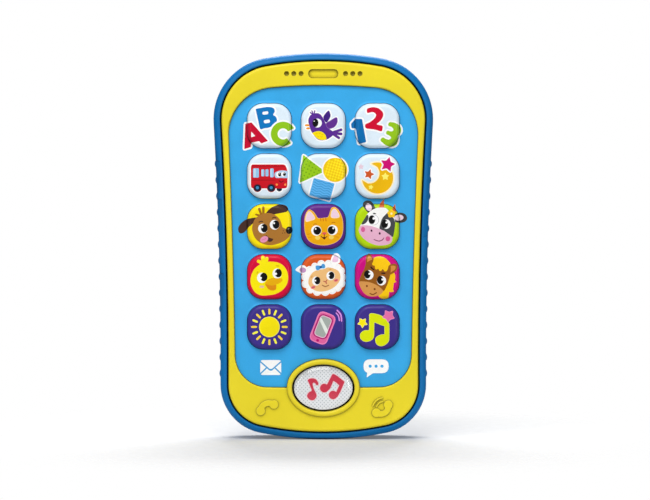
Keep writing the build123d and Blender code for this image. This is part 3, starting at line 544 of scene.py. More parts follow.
def sheep(art):
    wool = (250, 249, 246)
    curls = [(-5.3, 2.9, 1.35), (-3.3, 4.2, 1.35), (-0.8, 5, 1.55), (2, 5.1, 1.5), (4.2, 4.9, 1.6),
        (5.6, 3.6, 1.5), (6.8, 2.3, 1.55), (7.2, -0.1, 1.65), (7, -2.5, 1.6), (5.5, -4.1, 1.6),
        (3.4, -5, 1.7), (0.8, -5.7, 1.65), (-2.4, -5.7, 1.6), (-5, -4.8, 1.6), (-6.8, -2.7, 1.6),
        (-7.1, 0, 1.45), (-6.8, 2, 1.4)]
    art.fill(wool, oval(0.2, -0.6, 7.6, 5.9, 10, 40), *[oval(x, z, r, steps=20) for x, z, r in curls])
    for x, z, r in curls:
        toward = math.degrees(math.atan2(z + 0.6, x - 0.2))
        curl = smooth(arc(x, z, r - 0.45, toward - 80, toward + 60, 5), 2, False)
        art.fill((226, 226, 226), stroke(curl, 0.16, 1))
    left_ear = smooth([(-6.2, 3.4), (-7.6, 4.5), (-9.2, 4.2), (-10.8, 2.7), (-9.4, 1.7), (-8, 1.2),
        (-6.4, 1.6)])
    right_ear = smooth([(3, 6), (3.3, 7.8), (4.2, 8.9), (5.4, 9.1), (6.4, 8.2), (6.6, 7), (6, 5.3)])
    art.fill(wool, left_ear, right_ear)
    left_inner = smooth([(-6.8, 3.1), (-7.9, 3.7), (-9, 3.3), (-9.2, 2.4), (-8.2, 1.6), (-6.9, 2)])
    art.fill((196, 148, 192), left_inner)
    right_inner = smooth([(3.6, 5.9), (3.7, 7.3), (4.4, 8.2), (5.3, 8.1), (5.8, 7.1), (5.5, 5.9)])
    art.fill((236, 192, 220), right_inner)
    face = smooth([(-5.8, -1.6), (-5.2, 0.3), (-3.8, 2), (-1.8, 2.8), (0.3, 3.1), (1.8, 3.7), (4, 3.3),
        (5.8, 2.3), (6.6, 0.6), (6.4, -1.3), (5, -3.3), (3, -4.7), (0.3, -5.6), (-2.5, -5.5), (-4.6, -4.3),
        (-5.6, -3)])
    art.fill((240, 190, 124), face)
    left_bow = smooth([(-2.9, 4.2), (-2.7, 2.9), (-1.9, 2.7), (-1, 3.5), (-1, 4.1), (-1.9, 4.4)])
    right_bow = smooth([(-0.9, 4.1), (-0.3, 5), (0.4, 4.9), (0.7, 4), (0.3, 3.4), (-0.8, 3.5)])
    art.fill((72, 152, 214), left_bow, right_bow, rim=0.12, rim_colour=(170, 214, 240))
    art.fill((24, 84, 154), oval(-1, 3.8, 0.5, steps=14))
    eye(art, (-2.75, -1.55, 1.6, 1.75), (-2.3, -1.4, 1.15, 1.5), (-3.05, -1.4, 0.336))
    eye(art, (2.85, 0.5, 1.65, 1.75), (3.15, 0.6, 1.15, 1.45), (2.15, 0.6, 0.36))
    nose = (0.95, -1.95)
    art.fill((190, 88, 72), *[stroke([nose, end], 0.4) for end in ((0.2, -1.65), (1.4, -1.2), (1.3, -2.5))])
    art.fill((150, 84, 40), stroke([(-0.4, -3.2), (0.8, -3.7), (2.1, -3.2)], 0.35))
    for x, z in ((-3.9, -4), (4.95, -1.3)):
        art.fill((240, 158, 130), oval(x, z, 1.05, 0.7, 18, 18))
        art.fill((206, 84, 100), oval(x, z, 0.7, 0.4, 18, 16))
    art.fill((222, 160, 86), oval(-4.5, 0.1, 0.3, 0.6, -35, 14), oval(2.6, 2.95, 0.6, 0.28, 5, 14))


def horse(art):
    coat, tan, mane = (150, 88, 18), (214, 150, 78), (250, 200, 8)
    left_ear = smooth([(-4.1, 4.6), (-4.4, 6.9), (-4.1, 8.2), (-3.2, 9), (-2.4, 8.4), (-1.6, 7.2),
        (-0.8, 5.6)])
    right_ear = smooth([(4.2, 4.2), (6, 5.1), (7.3, 4.9), (7.9, 4), (7.4, 2.6), (6.5, 1.7), (5.2, 0.9),
        (4.2, 1.8)])
    art.fill(coat, left_ear, right_ear)
    left_inner = smooth([(-3.8, 5.6), (-3.8, 7.4), (-3.2, 8.2), (-2.3, 7.6), (-1.9, 6.6), (-2.8, 5.8)])
    right_inner = smooth([(4.7, 3.7), (5.8, 4.4), (7, 4.1), (6.8, 2.9), (5.9, 2.2), (5, 1.8)])
    art.fill((212, 140, 60), left_inner, right_inner)
    hair = rounded([(4.9, 0.9), (5.9, 1.2), (6.5, 1.8), (7, 0.6), (6.95, -0.6), (6.75, -1.2), (7.5, -1.9),
        (6.3, -2.4), (6.3, -3.6), (6.05, -4.9), (6.6, -5.6), (5.4, -5.95), (4.5, -5.7), (4.6, -6.7),
        (4.4, -7.7), (4.1, -8.45), (3, -8.8), (1.7, -8.5), (0.6, -7.7), (0.5, -7), (1.9, -5.9), (2.6, -5),
        (3.6, -3.4), (4.4, -1.2)], 0.45, 3)
    art.fill(mane, hair)
    face = smooth([(-4.2, 5.4), (-5, 3.2), (-6.1, 1), (-6.9, -1.8), (-4.5, -3.6), (0, -5.5), (2.4, -5.5),
        (3.6, -3.6), (4.5, -1.2), (5.1, 1.5), (5.1, 4.3), (3, 6.3), (-1.5, 6.8)])
    art.fill(coat, face)
    fringe = smooth([(-1.3, 7.4), (0, 7.9), (1.6, 7.9), (3.2, 7.2), (4.3, 6.2), (5.1, 5), (4.4, 4.3),
        (4.1, 3.2), (3.6, 2.3), (2.9, 2.2), (2.4, 2.8), (2.1, 3.1), (1.6, 2.5), (1, 2.3), (0.6, 2.8),
        (0.3, 3.2), (-0.2, 2.9), (-0.7, 3.1), (-0.9, 3.8), (-1, 4.4), (-1.6, 4.5), (-2, 5.1), (-1.5, 6.2)], 3)
    art.fill(mane, fringe)
    muzzle = smooth([(-6.9, -1.8), (-5.5, -1.7), (-3.5, -1.9), (-1.6, -2.5), (0.2, -3.4), (1.5, -4.4),
        (2.3, -5.4), (1.6, -6.5), (0.4, -7.2), (-1.5, -7.6), (-3.6, -7.3), (-5.3, -6), (-6.4, -4.2),
        (-6.9, -2.9)])
    art.fill(tan, muzzle)
    art.fill((124, 62, 18), oval(-4, -3.5, 0.38, 0.42, 0, 14), oval(-1, -4.7, 0.4, 0.44, 0, 14),
        stroke([(-2.8, -6.4), (-1.7, -6.8), (-0.3, -6.1)], 0.42))
    eye(art, (-3.25, 0.8, 1.8, 1.85), (-3.85, 1, 1.25, 1.6), (-3, 1.25, 0.384))
    eye(art, (1.65, -1.4, 1.8, 1.85), (1.15, -1.2, 1.25, 1.6), (2, -0.95, 0.384))
    art.fill((44, 16, 0), stroke([(-2.4, 3.8), (-1.9, 3.2), (-1.35, 2.9)], 0.55),
        stroke([(1.8, 1.5), (2.9, 1.45)], 0.55))


def sun(art):
    middle = np.array([0, 0.12])
    for k in range(16):
        angle = math.radians(22.5 * k)
        way = np.array([math.cos(angle), math.sin(angle)])
        colour = (250, 214, 62) if k % 2 == 0 else (250, 244, 76)
        art.fill(colour, stroke([middle + 5.2 * way, middle + 6.7 * way], 0.82, 2))
    art.fill((248, 228, 0), oval(*middle, 3.75, steps=44), rim=0.25, rim_colour=(255, 240, 92))


def phone(art):
    lean = -21.5
    art.fill((238, 128, 182), box(7.2, 12.4, 2, -0.25, -0.3, lean))
    art.fill((224, 98, 158), box(6.3, 11.5, 1.6, -0.25, -0.3, lean))
    art.fill((174, 22, 108), box(5.9, 9.4, 1.9, -0.1, 0.2, lean))
    art.fill((236, 192, 216), box(4.75, 8.4, 1.3, -0.1, 0.2, lean))
    art.fill((164, 172, 166), box(4.2, 7.8, 1.1, -0.1, 0.2, lean))
    glare = smooth([(-1.3, 2.5), (-0.8, 3.7), (0.3, 1.7), (1.7, -1.1), (1.2, -2.6), (0.4, -1.4), (-0.6, 0.9)])
    art.fill((228, 234, 226), glare)
    art.fill((188, 0, 108), oval(-2.2, -5.1, 0.55))
    art.fill((92, 22, 96), stroke([(5.3, 5.9), (6.3, 4.5), (6.7, 2.5)], 0.4))
    lilac = (216, 142, 226)
    art.fill(lilac, stroke([(5, 5.5), (5.9, 4.3), (6.25, 2.6)], 0.5),
        stroke([(5.4, 6.5), (6.75, 4.9), (7.1, 2.4)], 0.55))


def music(art):
    art.fill((255, 234, 0), star(-5.7, 1.75, 2, 1.05, -20), rim=0.15, rim_colour=(255, 250, 160))
    note = rounded([(-3, 5.25), (-1.9, 5.35), (-0.5, 5.1), (1, 4.7), (2.2, 4.1), (3.4, 3.2), (4.2, 2.2),
        (4.6, 1), (4.6, -4.4), (4.3, -5.6), (3.5, -6.5), (2.5, -7.1), (1.5, -7.3), (0.5, -7.1), (-0.3, -6.4),
        (-0.7, -5.3), (-0.6, -4.3), (0, -3.6), (0.9, -3.1), (1.7, -2.9), (2.9, -2.9), (2.9, 0.6), (1.5, 0.9),
        (0, 1.6), (-1.25, 2.1), (-1.3, -3.2), (-1.7, -4.5), (-2.7, -5.2), (-4, -5.6), (-5.3, -5.4),
        (-6.3, -4.6), (-6.7, -3.5), (-6.4, -2.4), (-5.5, -1.5), (-4.3, -1.2), (-3.05, -1.3)], 0.5, 3)
    art.fill((220, 230, 0), note, rim=0.12, rim_colour=(242, 242, 96))
    art.fill((228, 112, 168), star(4.4, 4.4, 2.45, 1.45, -23), rim=0.15, rim_colour=(238, 156, 208))


# ---------------------------------------------------------------- pictures on the panel and the button

def envelope(art):
    line = (70, 162, 218)
    art.fill(WHITE, box(8.1, 5.8, 0.8), rim=0.18, rim_colour=line)
    flap = np.array([(-4.1, 2.35), (-1.6, 0.15), (-0.6, -0.75), (0, -0.95), (0.6, -0.75), (1.6, 0.15),
        (4.1, 2.35)])
    art.fill(line, np.concatenate([flap + (0, 0.37), (flap - (0, 0.37))[::-1]]),
        stroke([(-4, -2.4), (-1.7, -0.2)], 0.55, 2), stroke([(4, -2.4), (1.7, -0.2)], 0.55, 2))


def speech_bubble(art):
    bubble = box(9.8, 5.4, 2.2, 0, 0.7)
    tail = rounded([(-3.4, -1.4), (-3.7, -3.7), (-0.6, -1.6)], 0.3, 2)
    art.fill(WHITE, bubble, tail, rim=0.15, rim_colour=(64, 150, 204))
    art.fill(PANEL_BLUE, *[oval(x, 0.7, 0.62, steps=18) for x in (-2.3, 0, 2.3)])


def button_notes(art):
    single = smooth([(-6, 3), (-5.4, 3.5), (-4.2, 3.7), (-3, 3.4), (-2.3, 2.6), (-1.85, 1.5), (-2.2, 1.05),
        (-2.8, 1.2), (-3.3, 1.9), (-4, 1.9), (-4.1, 1.2), (-3.6, -0.6), (-2.9, -2), (-2.6, -3), (-2.9, -3.9),
        (-3.7, -4.7), (-4.8, -4.8), (-5.8, -4.2), (-6.3, -3.2), (-6, -2.2), (-5.2, -1.5), (-4.5, -1.1),
        (-4.9, 0.2), (-5.5, 1.6), (-5.9, 2.5)], 3)
    heads = [oval(0.4, -0.1, 1.7), oval(3.8, -2.8, 1.65)]
    left_stem = rounded([(1, 0.4), (3.5, 5.3), (4.1, 5.4), (4.4, 4.2), (3.6, 2), (2.6, -0.4), (1.7, -1.2)],
        0.3, 2)
    beam = rounded([(3.4, 5.2), (4, 5.45), (5.5, 4.6), (7, 3.4), (8.3, 2.4), (7.6, 0.8), (6.2, 0.9),
        (5.2, 1.9), (4, 2.7), (3.2, 2.6)], 0.3, 2)
    right_stem = rounded([(8.3, 2.4), (7.5, 0.5), (6.6, -1.6), (5.4, -3.7), (4.5, -3.2), (5.1, -1.4),
        (6.2, 1)], 0.3, 2)
    art.fill((214, 24, 66), single, *heads, left_stem, beam, right_stem, rim=0.28, rim_colour=(248, 214, 220))


# Key pictures from the top row down, each with its key's ground colour and material slot
KEYS = {
    "letters": (letters, PALE_KEY, "white_key"),
    "bird": (bird, PALE_KEY, "white_key"),
    "numbers": (numbers, PALE_KEY, "white_key"),
    "bus": (bus, PALE_KEY, "white_key"),
    "shapes": (shapes, PALE_KEY, "white_key"),
    "moon": (moon, PALE_KEY, "white_key"),
    "dog": (dog, (250, 226, 0), "yellow_key"),
    "cat": (cat, (96, 36, 132), "purple_key"),
    "cow": (cow, (178, 214, 0), "lime_key"),
    "duck": (duck, (214, 0, 56), "crimson_key"),
    "sheep": (sheep, (218, 88, 26), "orange_key"),
    "horse": (horse, (204, 0, 126), "magenta_key"),
    "sun": (sun, (60, 46, 136), "indigo_key"),
    "phone": (phone, (60, 46, 136), "indigo_key"),
    "music": (music, (60, 46, 136), "indigo_key"),
}


# ---------------------------------------------------------------- meshes that follow a drawing

def unit(vectors):
    """The same directions with a length of 1."""
    return vectors / np.maximum(np.linalg.norm(vectors, axis=-1, keepdims=True), 1e-12)


def in_space(flat, y):
    """Flat points or directions (x, z) as (x, y, z), at one y or at one each."""
    return np.stack([flat[:, 0], np.broadcast_to(y, len(flat)), flat[:, 1]], 1)


def grid_points(columns, rows):
    """Points at the crossings of columns and rows."""
    return np.stack(np.meshgrid(columns, rows), -1).reshape(-1, 2)


def node_place(name):
    """Middle of a CAD node seen from the front, and the depths of its front and its back, in millimetres."""
    low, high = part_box(name)
    return np.array([low.x + high.x, low.z + high.z]) / 2 / MM, low.y / MM, high.y / MM


def triangulate(loops, points, keep):
    """Triangles whose edges follow every closed loop, kept where keep(centres) says so."""
    corners, edges = [], []
    for loop in loops:
        first = len(corners)
        corners += [Vector(q) for q in loop]
        edges += [(first + i, first + (i + 1) % len(loop)) for i in range(len(loop))]
    corners += [Vector(q) for q in points]
    result = delaunay_2d_cdt(corners, edges, [], 0, 1e-4, False)
    at = np.array([tuple(v) for v in result[0]])
    triangles = np.array(result[2])
    triangles = triangles[keep(at[triangles].mean(1))]
    a, b, c = (at[triangles[:, k]] for k in range(3))
    area = (b[:, 0] - a[:, 0]) * (c[:, 1] - a[:, 1]) - (b[:, 1] - a[:, 1]) * (c[:, 0] - a[:, 0])
    triangles[area < 0] = triangles[area < 0][:, ::-1]
    triangles = triangles[np.abs(area) > 1e-9]
    used, triangles = np.unique(triangles, return_inverse=True)
    return at[used], triangles.reshape(-1, 3)


def boundary(triangles):
    """Outer edges of a set of triangles, inside on the left, each with the triangle it belongs to."""
    owner = {}
    for t, corners in enumerate(triangles.tolist()):
        for k in range(3):
            edge = (corners[k], corners[(k + 1) % 3])
            if edge[::-1] in owner:
                del owner[edge[::-1]]
            else:
                owner[edge] = t
    return owner


def take_chain(start, follow):
    """Closed chain of points from a start, taken out of a table of which point follows which."""
    chain, corner = [start], follow.pop(start)
    while corner != start:
        chain.append(corner)
        corner = follow.pop(corner)
    return chain


def add_object(name, data):
    """Object with the given data, in the scene."""
    made = bpy.data.objects.new(name, data)
    bpy.context.scene.collection.objects.link(made)
    return made


class Piece:
    """Mesh under construction, in millimetres, with a colour per face and a normal per corner."""

    def __init__(self):
        self.points, self.faces, self.colours, self.normals = [], [], [], []

    def add_points(self, points):
        """Add points, and return the number of the first."""
        self.points += [tuple(p) for p in points]
        return len(self.points) - len(points)

    def add_face(self, corners, colour, normals=None):
        """Add a face, flat unless its corners are given normals."""
        self.faces.append(tuple(int(c) for c in corners))
        self.colours.append(colour)
        self.normals.append(normals)

    def add_sheet(self, at, triangles, colours, ground, front_y, back_y, normals=None):
        """Add a sheet with its drawing on the front, and the ground colour on its back."""
        self.add_points(in_space(at, front_y))
        back = self.add_points(in_space(at, back_y))
        for corners, colour in zip(triangles, colours):
            self.add_face(corners, colour, None if normals is None else normals[corners])
            self.add_face(back + corners[::-1], ground)
        for (a, b), owner in boundary(triangles).items():
            self.add_face((a, a + back, b + back, b), colours[owner])

    def build(self, name, material, body, node_name):
        """Make the object that stands for a CAD node and moves with a body."""
        mesh = bpy.data.meshes.new(name)
        mesh.from_pydata([tuple(c * MM for c in p) for p in self.points], [], self.faces)
        mesh.validate()
        mesh.update()
        attribute = mesh.color_attributes.new("ink", "FLOAT_COLOR", "CORNER")
        counts = [len(f) for f in self.faces]
        attribute.data.foreach_set("color", np.repeat(np.array(self.colours), counts, axis=0).ravel())
        corner_normals = []
        for polygon, given in zip(mesh.polygons, self.normals):
            flat = [polygon.normal] * polygon.loop_total
            corner_normals += [tuple(n) for n in (flat if given is None else given)]
        mesh.shade_smooth()
        mesh.normals_split_custom_set(corner_normals)
        mesh.materials.append(material)
        made = add_object(name, mesh)
        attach(made, body)
        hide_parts(node_name)


# ---------------------------------------------------------------- picture keys

def key_depth(points):
    """Distance in from the key's outline, and the outward direction there."""
    q = np.abs(points) - (KEY_HALF - KEY_CORNER)
    out = np.maximum(q, 0)
    reach = np.linalg.norm(out, axis=1)
    depth = KEY_CORNER - reach - np.minimum(q.max(1), 0)
    flat = np.where((q[:, 0] > q[:, 1])[:, None], [1.0, 0.0], [0.0, 1.0])
    way = np.where((reach > 1e-9)[:, None], out / np.maximum(reach, 1e-9)[:, None], flat)
    return depth, way * np.where(points < 0, -1.0, 1.0)


def key_outline(grow, pieces=12):
    """Points round the key's outline, grown by a distance."""
    corners = []
    for k, sides in enumerate(((1, 1), (-1, 1), (-1, -1), (1, -1))):
        middle = (KEY_HALF - KEY_CORNER) * sides
        corners.append(arc(*middle, KEY_CORNER + grow, 90 * k, 90 * k + 90, pieces + 1))
    return np.concatenate(corners)


def key_front(points, front_y):
    """Depth and normals of the key's crowned face, at points inside its outline."""
    inset, way = key_depth(points)
    slope = np.clip((KEY_EDGE - np.clip(inset, 0, None)) / KEY_EDGE, 0, 1)
    level = np.sqrt(1 - slope ** 2)
    spread = (KEY_HALF ** 2).sum()
    y = front_y + KEY_CROWN * (points ** 2).sum(1) / spread + KEY_EDGE * (1 - level)
    crown = unit(in_space(2 * KEY_CROWN * points / spread, -1.0))
    return y, unit(in_space(way, 0.0) * slope[:, None] + crown * level[:, None])


def build_key(name, material):
    """Crowned key cap with its picture, flange and stem."""
    picture, ground, slot = KEYS[name]
    ground = ink(*ground)
    body = f"key_{name}"
    middle, front_y, _ = node_place(body)
    art = Drawing(picture)
    rings = [key_outline(-KEY_EDGE * (1 - math.cos(math.radians(angle)))) for angle in KEY_EDGE_ANGLES]
    span = np.arange(-KEY_GRID_REACH, KEY_GRID_REACH + 0.1, KEY_GRID)
    grid = grid_points(span, span)
    grid = grid[key_depth(grid)[0] > KEY_EDGE + KEY_GRID_GAP]
    at, triangles = triangulate(rings + art.outlines(), grid, lambda centres: inside(rings[0], centres))
    colours = art.colours(at[triangles].mean(1), ground)
    y, normals = key_front(at, front_y)
    piece = Piece()
    piece.add_points(in_space(at + middle, y))
    for corners, colour in zip(triangles, colours):
        piece.add_face(corners, colour, normals[corners])
    add_key_sides(piece, at, triangles, colours, ground, middle)
    piece.build(f"picture_{name}", material, body, body)


def add_key_sides(piece, at, triangles, colours, ground, middle):
    """Side walls, flange and stem below the face, darkened as painted shade, darkest where they have the
    key's ground colour.
    """
    edges = boundary(triangles)
    rim = sorted({corner for edge in edges for corner in edge})
    place = {corner: i for i, corner in enumerate(rim)}
    _, way = key_depth(at[rim])
    stem, lip = unit(at[rim]) * KEY_STEM_R, at[rim] + way * KEY_FLANGE_LIP
    levels = [(at[rim], KEY_FLANGE_TOP_Y), (lip, KEY_FLANGE_TOP_Y), (lip, KEY_FLANGE_BACK_Y),
              (stem, KEY_FLANGE_BACK_Y), (stem, KEY_STEM_TIP_Y)]
    outward = in_space(way, 0.0)
    above = None
    for points, depth in levels:
        first = piece.add_points(in_space(points + middle, depth))
        for (a, b), owner in edges.items():
            i, j = place[a], place[b]
            # Painted shade: the wall keeps only a share of the colour of the face above it
            shade = WALL_SHADE if np.allclose(colours[owner], ground) else SPILL_SHADE
            wall = (*(shade * colours[owner][:3]), 1.0)
            if above is None:
                normals = [outward[i], outward[i], outward[j], outward[j]]
                piece.add_face((a, first + i, first + j, b), wall, normals)
            else:
                piece.add_face((above + i, first + i, first + j, above + j), wall)
        above = first
    tip = take_chain(rim[0], dict(edges.keys()))
    piece.add_face([above + place[corner] for corner in reversed(tip)], wall)


# ---------------------------------------------------------------- printed panel

def front_outline(name, y):
    """Widest closed outline of a CAD node's flat front face at depth y, in millimetres."""
    mesh = frame["nodes"][name].data
    spots = [tuple(round(c / MM, 3) for c in v.co) for v in mesh.vertices]
    points = list(dict.fromkeys(spots))
    number = {spot: i for i, spot in enumerate(points)}
    used = set()
    for polygon in mesh.polygons:
        corners = [number[spots[v]] for v in polygon.vertices]
        if all(abs(points[c][1] - y) < 0.005 for c in corners):
            used |= set(zip(corners, corners[1:] + corners[:1]))
    follow = {a: b for a, b in used if (b, a) not in used}
    loops = []
    while follow:
        chain = take_chain(next(reversed(follow)), follow)
        loops.append(np.array([(points[c][0], points[c][2]) for c in chain]))
    return max(loops, key=lambda loop: np.ptp(loop[:, 0]))


def lip_height(points, middles):
    """Rise of the panel near its keys, and its slope."""
    rise, slope = np.zeros(len(points)), np.zeros((len(points), 2))
    for middle in middles:
        local = points - middle
        near = np.where((np.abs(local) < KEY_HALF + LIP_GAP + LIP_WIDTH).all(1))[0]
        inset, way = key_depth(local[near])
        share = np.clip(1 - (-inset - LIP_GAP) / LIP_WIDTH, 0, 1)
        rise[near] += LIP_RISE * share ** 2
        slope[near] += -way * (2 * LIP_RISE * share / LIP_WIDTH)[:, None]
    return rise, slope


def build_panel(material):
    """Printed panel, with a raised lip round each key, and the parts of the pictures that spill onto it."""
    _, front_y, back_y = node_place("key_film")
    outline = front_outline("key_film", front_y)
    middles = [node_place(f"key_{name}")[0] for name in KEYS]
    art = Drawing()
    for (picture, _, _), middle in zip(KEYS.values(), middles):
        art.place(picture, *middle)
    art.place(envelope, *ENVELOPE_AT)
    art.place(speech_bubble, *BUBBLE_AT)
    openings = [key_outline(LIP_GAP) + middle for middle in middles]
    lips = [key_outline(LIP_GAP + LIP_WIDTH * step) + middle for middle in middles for step in LIP_STEPS]

    def spills(shape):
        """Whether a shape reaches past the outline of the key it is nearest to."""
        spot = shape.mean(0)
        nearest = min(middles, key=lambda middle: np.linalg.norm(middle - spot))
        return (key_depth(shape - nearest)[0] < 0).any()

    def keep(centres):
        """Which points lie on the panel, outside the keys' openings."""
        return inside(outline, centres) & ~np.any([inside(opening, centres) for opening in openings], axis=0)

    grid = grid_points(np.arange(*PANEL_COLUMNS, PANEL_GRID), np.arange(*PANEL_ROWS, PANEL_GRID))
    grid = grid[keep(grid) & (distance_to(outline, grid) > PANEL_GRID_GAP)]
    spilled = [shape for shape in art.outlines() if spills(shape)]
    at, triangles = triangulate([outline] + openings + lips + spilled, grid, keep)
    ground = ink(*PANEL_BLUE)
    colours = art.colours(at[triangles].mean(1), ground)
    rise, slope = lip_height(at, middles)
    piece = Piece()
    piece.add_sheet(at, triangles, colours, ground, front_y - rise, back_y, unit(in_space(-slope, -1.0)))
    piece.build("printed_panel", material, "housing", "key_film")


# ---------------------------------------------------------------- music button

def build_plate(material):
    """Silver plate with two red notes, under the lens. An ink with an alpha of 0 shows the foil."""
    middle = node_place("home_button_lens")[0]
    _, front_y, back_y = node_place("home_button_insert")
    art = Drawing(button_notes)
    rim = oval(0, 0, *PLATE_HALF, steps=OVAL_STEPS)
    at, triangles = triangulate([rim] + art.outlines(), [], lambda centres: inside(rim, centres))
    silver = ink(214, 217, 220, 0.0)
    colours = art.colours(at[triangles].mean(1), silver)
    piece = Piece()
    piece.add_sheet(at + middle, triangles, colours, silver, front_y + PLATE_AIR, back_y)
    piece.build("button_plate", material, "music_button", "home_button_insert")


def build_lens(material):
    """Clear oval dome with a rolled edge."""
    middle, front_y, back_y = node_place("home_button_lens")
    clear = (1.0, 1.0, 1.0, 1.0)
    # Rings of the mesh as shares of the way out: even ones, then closer ones over the rolled edge
    even, close = np.linspace(0.08, 0.9, 12), 1 - (1 - np.sin(np.radians([15, 30, 45, 60, 75, 90]))) * 0.08
    shares = np.concatenate([even, close])
    circle = unit_circle(OVAL_STEPS)
    way = unit(circle / LENS_HALF)
    piece = Piece()
    piece.add_points(in_space(middle[None], front_y))
    normals = [np.array([0.0, -1.0, 0.0])]
    for share in shares:
        inset = (1 - share) * LENS_HALF.mean()
        lean = np.clip((LENS_EDGE - inset) / LENS_EDGE, 0, 1)
        level = math.sqrt(1 - lean ** 2)
        drop = LENS_SAG * share ** 2 + LENS_EDGE * (1 - level)
        front = unit(in_space(way * 2 * LENS_SAG * share / LENS_HALF.mean(), -1.0))
        normals += list(unit(in_space(way, 0.0) * lean + front * level))
        piece.add_points(in_space(circle * LENS_HALF * share + middle, front_y + drop))
    rings = [1 + ring * OVAL_STEPS for ring in range(len(shares))]
    back = piece.add_points(in_space(circle * LENS_HALF + middle, back_y))
    for k in range(OVAL_STEPS):
        after = (k + 1) % OVAL_STEPS
        faces = [(0, 1 + k, 1 + after)]
        faces += [(here + k, there + k, there + after, here + after) for here, there in zip(rings, rings[1:])]
        for corners in faces:
            piece.add_face(corners, clear, [normals[c] for c in corners])
    for k in range(OVAL_STEPS):
        after = (k + 1) % OVAL_STEPS
        piece.add_face((rings[-1] + k, back + k, back + after, rings[-1] + after), clear)
    piece.add_face([back + k for k in reversed(range(OVAL_STEPS))], clear)
    piece.build("button_lens", material, "music_button", "home_button_lens")


# ---------------------------------------------------------------- materials

def put(tree, socket, value):
    """Give an input a value, or link it where the value is another node's socket."""
    if isinstance(value, bpy.types.NodeSocket):
        tree.links.new(value, socket)
    else:
        socket.default_value = value


def node(tree, kind, inputs=None, **settings):
    """Add one shader node, with its inputs given as values or as sockets to link."""
    made = tree.nodes.new("ShaderNode" + kind)
    for key, value in settings.items():
        setattr(made, key, value)
    for key, value in (inputs or {}).items():
        put(tree, made.inputs[key], value)
    return made


def maths(tree, operation, *values):
    """Result of a sum on values or sockets."""
    return node(tree, "Math", dict(enumerate(values)), operation=operation).outputs[0]


def new_material(name):
    """Empty material, and its node tree."""
    material = bpy.data.materials.new(name)
    material.use_nodes = True
    material.node_tree.nodes.clear()
    return material, material.node_tree


def own_space(tree):
    """Position in the part's own space."""
    return node(tree, "TexCoord").outputs["Object"]


def noise(tree, grain_mm, detail=3.0, roughness=0.5):
    """Noise in the part's own space, with features of about the given size."""
    return node(tree, "TexNoise", {"Vector": own_space(tree), "Scale": 1 / (grain_mm * MM), "Detail": detail,
                                   "Roughness": roughness}).outputs["Fac"]


def remap(tree, value, low, high, start=0.3, end=0.7, **settings):
    """Value taken from the range start to end, to the range low to high."""
    return node(tree, "MapRange", {"Value": value, "From Min": start, "From Max": end, "To Min": low,
                                   "To Max": high}, **settings).outputs["Result"]


def uneven(tree, low, high, grain_mm, detail=3.0):
    """Value that wanders from low to high over the surface."""
    return remap(tree, noise(tree, grain_mm, detail), low, high)


def blend(tree, share, first, second, mode="MIX"):
    """First colour with a share of the second mixed in."""
    return node(tree, "Mix", {0: share, 6: first, 7: second}, data_type="RGBA", blend_type=mode).outputs[2]


def openness(tree, reach_mm):
    """Near 1 on open surfaces, and near 0 down in grooves; it marks where shade is painted."""
    return node(tree, "AmbientOcclusion", {"Distance": reach_mm * MM}, samples=6).outputs["AO"]


def edge_mask(tree, radius_mm):
    """Near 1 on sharp outer and inner edges, where handling polishes the plastic."""
    eased = node(tree, "Bevel", {"Radius": radius_mm * MM}, samples=4).outputs["Normal"]
    normal = node(tree, "NewGeometry").outputs["Normal"]
    dot = node(tree, "VectorMath", {0: eased, 1: normal}, operation="DOT_PRODUCT").outputs["Value"]
    return remap(tree, maths(tree, "SUBTRACT", 1.0, dot), 0.0, 1.0, 0.0, 0.12)


def surface(tree, colour, rough, bump_height, bump_mm, extra=None):
    """Principled surface with a bump, wired to the output."""
    bump = node(tree, "Bump", {"Height": bump_height, "Distance": bump_mm * MM, "Strength": 1.0})
    inputs = {"Base Color": colour, "Roughness": rough, "Normal": bump.outputs["Normal"], **(extra or {})}
    shader = node(tree, "BsdfPrincipled", inputs)
    node(tree, "OutputMaterial", {"Surface": shader.outputs["BSDF"]})


def scatter(weight, radius=(0.001, 0.001, 0.001)):
    """Inputs of a surface that lets light spread below it, over radii in metres."""
    return {"Subsurface Weight": weight, "Subsurface Radius": radius, "Subsurface Scale": 1.0}


def scaled(colour, factor):
    """Colour made lighter or darker."""
    return (*(min(1.0, c * factor) for c in colour[:3]), 1.0)


def moulded(name, colour, rough=0.38, grain_mm=0.22, coat=0.25, wear=0.35, shade_reach_mm=0.95):
    """Injection-moulded plastic: spark-eroded grain, faint flow marks, polished edges, and painted shade in
    its grooves and the gaps between parts.
    """
    material, tree = new_material(name)
    colour = ink(*colour)
    toned = blend(tree, uneven(tree, 0.0, 1.0, 26.0, 2.0), scaled(colour, 0.94), scaled(colour, 1.04))
    toned = blend(tree, uneven(tree, 0.0, 0.35, 0.8, 2.0), toned, scaled(colour, 0.97))
    pale = (*(c + (1 - c) * 0.22 for c in colour[:3]), 1.0)
    toned = blend(tree, maths(tree, "MULTIPLY", edge_mask(tree, 0.5), wear), toned, pale)
    # Painted shade: the colour turns dark where ambient occlusion finds grooves, relief edges and gaps
    # between parts
    closed = remap(tree, openness(tree, shade_reach_mm), 0.95, 0.0, 0.45, 0.98)
    toned = blend(tree, closed, toned, (*(0.2 * c ** 1.2 for c in colour[:3]), 1.0))
    surface(tree, toned, uneven(tree, rough - 0.05, rough + 0.07, 3.0), noise(tree, grain_mm, 2.0), 0.004,
            {"Coat Weight": coat, "Coat Roughness": 0.22, "Specular IOR Level": 0.2, "IOR": 1.5,
             **scatter(0.06, (0.0012, 0.0010, 0.0008))})
    return material


